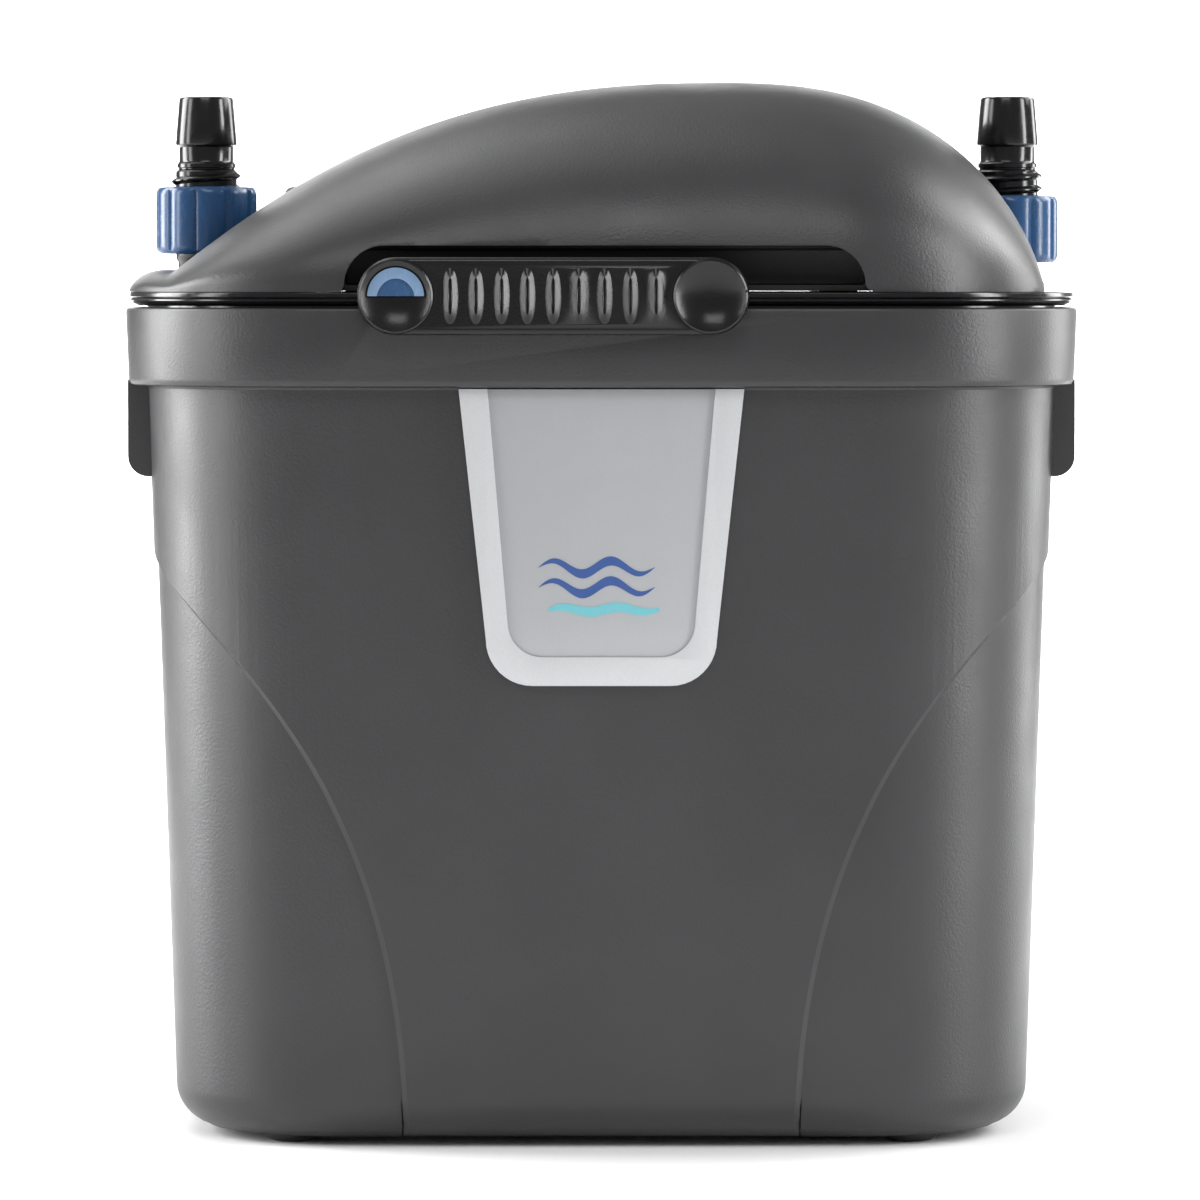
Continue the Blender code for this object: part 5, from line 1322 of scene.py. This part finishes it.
def make_foam(name, node, body, slot, mats, rough):
    """A cut block of foam whose faces wander a little, as foam does after it is cut."""
    source = frame["nodes"][node]
    bm = bmesh.new()
    bm.from_mesh(source.data)
    bmesh.ops.remove_doubles(bm, verts=bm.verts, dist=1e-5)
    bmesh.ops.dissolve_limit(bm, angle_limit=math.radians(1), verts=bm.verts, edges=bm.edges)
    bmesh.ops.triangulate(bm, faces=bm.faces)
    pad = to_piece(bm, name, mats[slot])
    step = pad.modifiers.new("cells", "REMESH")
    step.mode = "VOXEL"
    step.voxel_size = 0.0022
    shrink = pad.modifiers.new("cut faces", "DISPLACE")
    texture = bpy.data.textures.new(f"{name}_cut", "CLOUDS")
    texture.noise_scale = 0.006
    shrink.texture = texture
    shrink.texture_coords = "LOCAL"
    shrink.strength = rough
    shrink.mid_level = 1.0
    apply_modifiers(pad, 70.0)
    show(pad, body, slot, node)


def smooth_copy(node, body, slot, finish, edge=0.0003):
    """The CAD piece with its loose triangles joined, its curves smooth and its edges eased."""
    bm = bmesh.new()
    bm.from_mesh(frame["nodes"][node].data)
    bmesh.ops.remove_doubles(bm, verts=bm.verts, dist=1e-6)
    bmesh.ops.dissolve_limit(bm, angle_limit=math.radians(0.5), verts=bm.verts, edges=bm.edges)
    piece = to_piece(bm, f"{node}_moulding", finish)
    if edge:
        round_edges(piece, edge, 2, 50.0)
    return show(piece, body, slot, node)


def make_button_spring(slot, finish):
    """The leaf behind the button, on a mesh of its own. The real leaf flattens as the button goes in."""
    spring = smooth_copy("button_spring", "lock_slide", slot, finish, edge=0.0)
    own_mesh(spring)


def finish_carried_nodes(mats):
    """Smooth copies of some CAD pieces, and a finish for those shown as they are."""
    slots = {part["node"]: part["material_slot"] for part in frame["record"]["subparts"]}
    for node, body in SMOOTHED.items():
        smooth_copy(node, body, slots[node], mats[slots[node]])
    slot = slots["button_spring"]
    make_button_spring(slot, mats[slot])
    for name, node in frame["nodes"].items():
        if node.hide_render:
            continue
        node.data.materials.clear()
        node.data.materials.append(mats[slots[name]])


# Stage


def make_camera():
    """Eye level with the hood's lower edge, looking slightly down at the object's middle."""
    distance, eye = 1.600, 0.1883
    picture_width = 0.2700
    data = bpy.data.cameras.new("camera")
    data.sensor_width = 36.0
    data.lens = data.sensor_width * distance / picture_width
    data.clip_end = 20.0
    camera = bpy.data.objects.new("camera", data)
    camera.location = (-0.0003, -distance, eye)
    camera.rotation_euler = (math.pi / 2 - math.atan(0.0720 / distance), 0.0, 0.0)
    bpy.context.scene.collection.objects.link(camera)
    bpy.context.scene.camera = camera


def make_floor():
    """A pale floor, and a narrow card behind the object that it curves up into."""
    half, card, rear, rise = 2.0, 0.5, 1.3, 0.6
    bm = bmesh.new()
    bmesh.ops.create_grid(bm, x_segments=1, y_segments=1, size=half)
    bmesh.ops.translate(bm, vec=(0.0, rear - 0.3 - half, 0.0), verts=bm.verts)
    profile = [(rear - 0.3, 0.0)] + arc(rear - 0.3, 0.3, 0.3, -90, 0, 12)[1:] + [(rear, rise)]
    verts = [bm.verts.new((-card, y, z)) for y, z in profile]
    edges = [bm.edges.new(pair) for pair in zip(verts, verts[1:])]
    made = bmesh.ops.extrude_edge_only(bm, edges=edges)["geom"]
    moved = [part for part in made if isinstance(part, bmesh.types.BMVert)]
    bmesh.ops.translate(bm, vec=(2 * card, 0.0, 0.0), verts=moved)
    mesh = bpy.data.meshes.new("sweep")
    bm.to_mesh(mesh)
    bm.free()
    mesh.shade_smooth()
    mesh.set_sharp_from_angle(angle=math.radians(30))
    sweep = bpy.data.objects.new("sweep", mesh)
    bpy.context.scene.collection.objects.link(sweep)
    paper = Shader("white_paper", 0.85, Specular_IOR_Level=0.1)
    paper.colours(paper.noise(3.0, 2.0), (0.3, (0.93, 0.93, 0.93)), (0.7, (0.95, 0.95, 0.95)))
    mesh.materials.append(paper.material)


def area_light(name, location, target, size, power, spread=180.0):
    """A rectangular soft box turned to a target. Its spread is in degrees."""
    data = bpy.data.lights.new(name, "AREA")
    data.spread = math.radians(spread)
    data.shape = "RECTANGLE"
    data.size, data.size_y = size
    data.energy = power
    lamp = bpy.data.objects.new(name, data)
    lamp.location = location
    lamp.rotation_euler = (Vector(target) - Vector(location)).to_track_quat("-Z", "Y").to_euler()
    bpy.context.scene.collection.objects.link(lamp)


def make_world():
    """A dim even surround that the eye sees as plain white."""
    world = bpy.data.worlds.new("studio")
    world.use_nodes = True
    tree = world.node_tree
    dim = tree.nodes["Background"]
    dim.inputs["Strength"].default_value = 0.30
    bright = tree.nodes.new("ShaderNodeBackground")
    for shade in (dim, bright):
        shade.inputs["Color"].default_value = (1.0, 1.0, 1.0, 1.0)
    seen = tree.nodes.new("ShaderNodeLightPath")
    mix = tree.nodes.new("ShaderNodeMixShader")
    tree.links.new(seen.outputs["Is Camera Ray"], mix.inputs[0])
    tree.links.new(dim.outputs[0], mix.inputs[1])
    tree.links.new(bright.outputs[0], mix.inputs[2])
    tree.links.new(mix.outputs[0], tree.nodes["World Output"].inputs["Surface"])
    bpy.context.scene.world = world


def make_lights():
    """Soft boxes beside, above and behind the object, a fill from the front and a lit backdrop."""
    middle = (0.0, 0.0, 0.12)
    area_light("left_box", (-1.15, 0.30, 0.40), middle, (0.48, 1.1), 23.0)
    area_light("left_front_strip", (-1.15, -0.33, 0.40), middle, (0.26, 1.0), 6.0)
    area_light("right_box", (0.98, 0.68, 0.40), middle, (0.34, 1.0), 8.0)
    area_light("right_high_box", (1.05, 0.32, 0.95), middle, (0.70, 0.7), 8.5)
    area_light("left_high_box", (-0.60, 0.85, 1.30), middle, (0.90, 0.8), 4.0)
    area_light("top_box", (-0.50, 0.20, 1.5), middle, (1.0, 0.9), 4.0)
    area_light("right_strip", (1.12, -0.40, 0.42), middle, (0.26, 1.0), 11.0)
    area_light("front_fill", (-0.2, -1.6, 1.7), middle, (1.2, 0.7), 10.0)
    area_light("card_light", (0.0, 0.55, 1.6), (0.0, 1.2, 0.2), (1.2, 0.5), 14.0, 75.0)


def main():
    scene = bpy.context.scene
    scene.view_settings.view_transform = "Standard"
    make_camera()
    mats = make_materials()
    make_canister(mats)
    make_feet(mats)
    make_badge(mats)
    make_lid_plate(mats)
    make_head_seal(mats)
    make_hood(mats)
    make_latch_channel(mats)
    make_connectors(mats)
    make_cable_gland(mats)
    make_slide(mats)
    make_button(mats)
    make_foam("coarse_foam_block", "coarse_foam", "lower_basket", "blue_foam", mats, 0.0008)
    make_foam("fine_foam_block", "fine_foam", "upper_basket", "grey_foam", mats, 0.0006)
    make_foam("floss_mat", "polishing_pad", "upper_basket", "white_floss", mats, 0.0012)
    finish_carried_nodes(mats)
    make_floor()
    make_world()
    make_lights()


main()
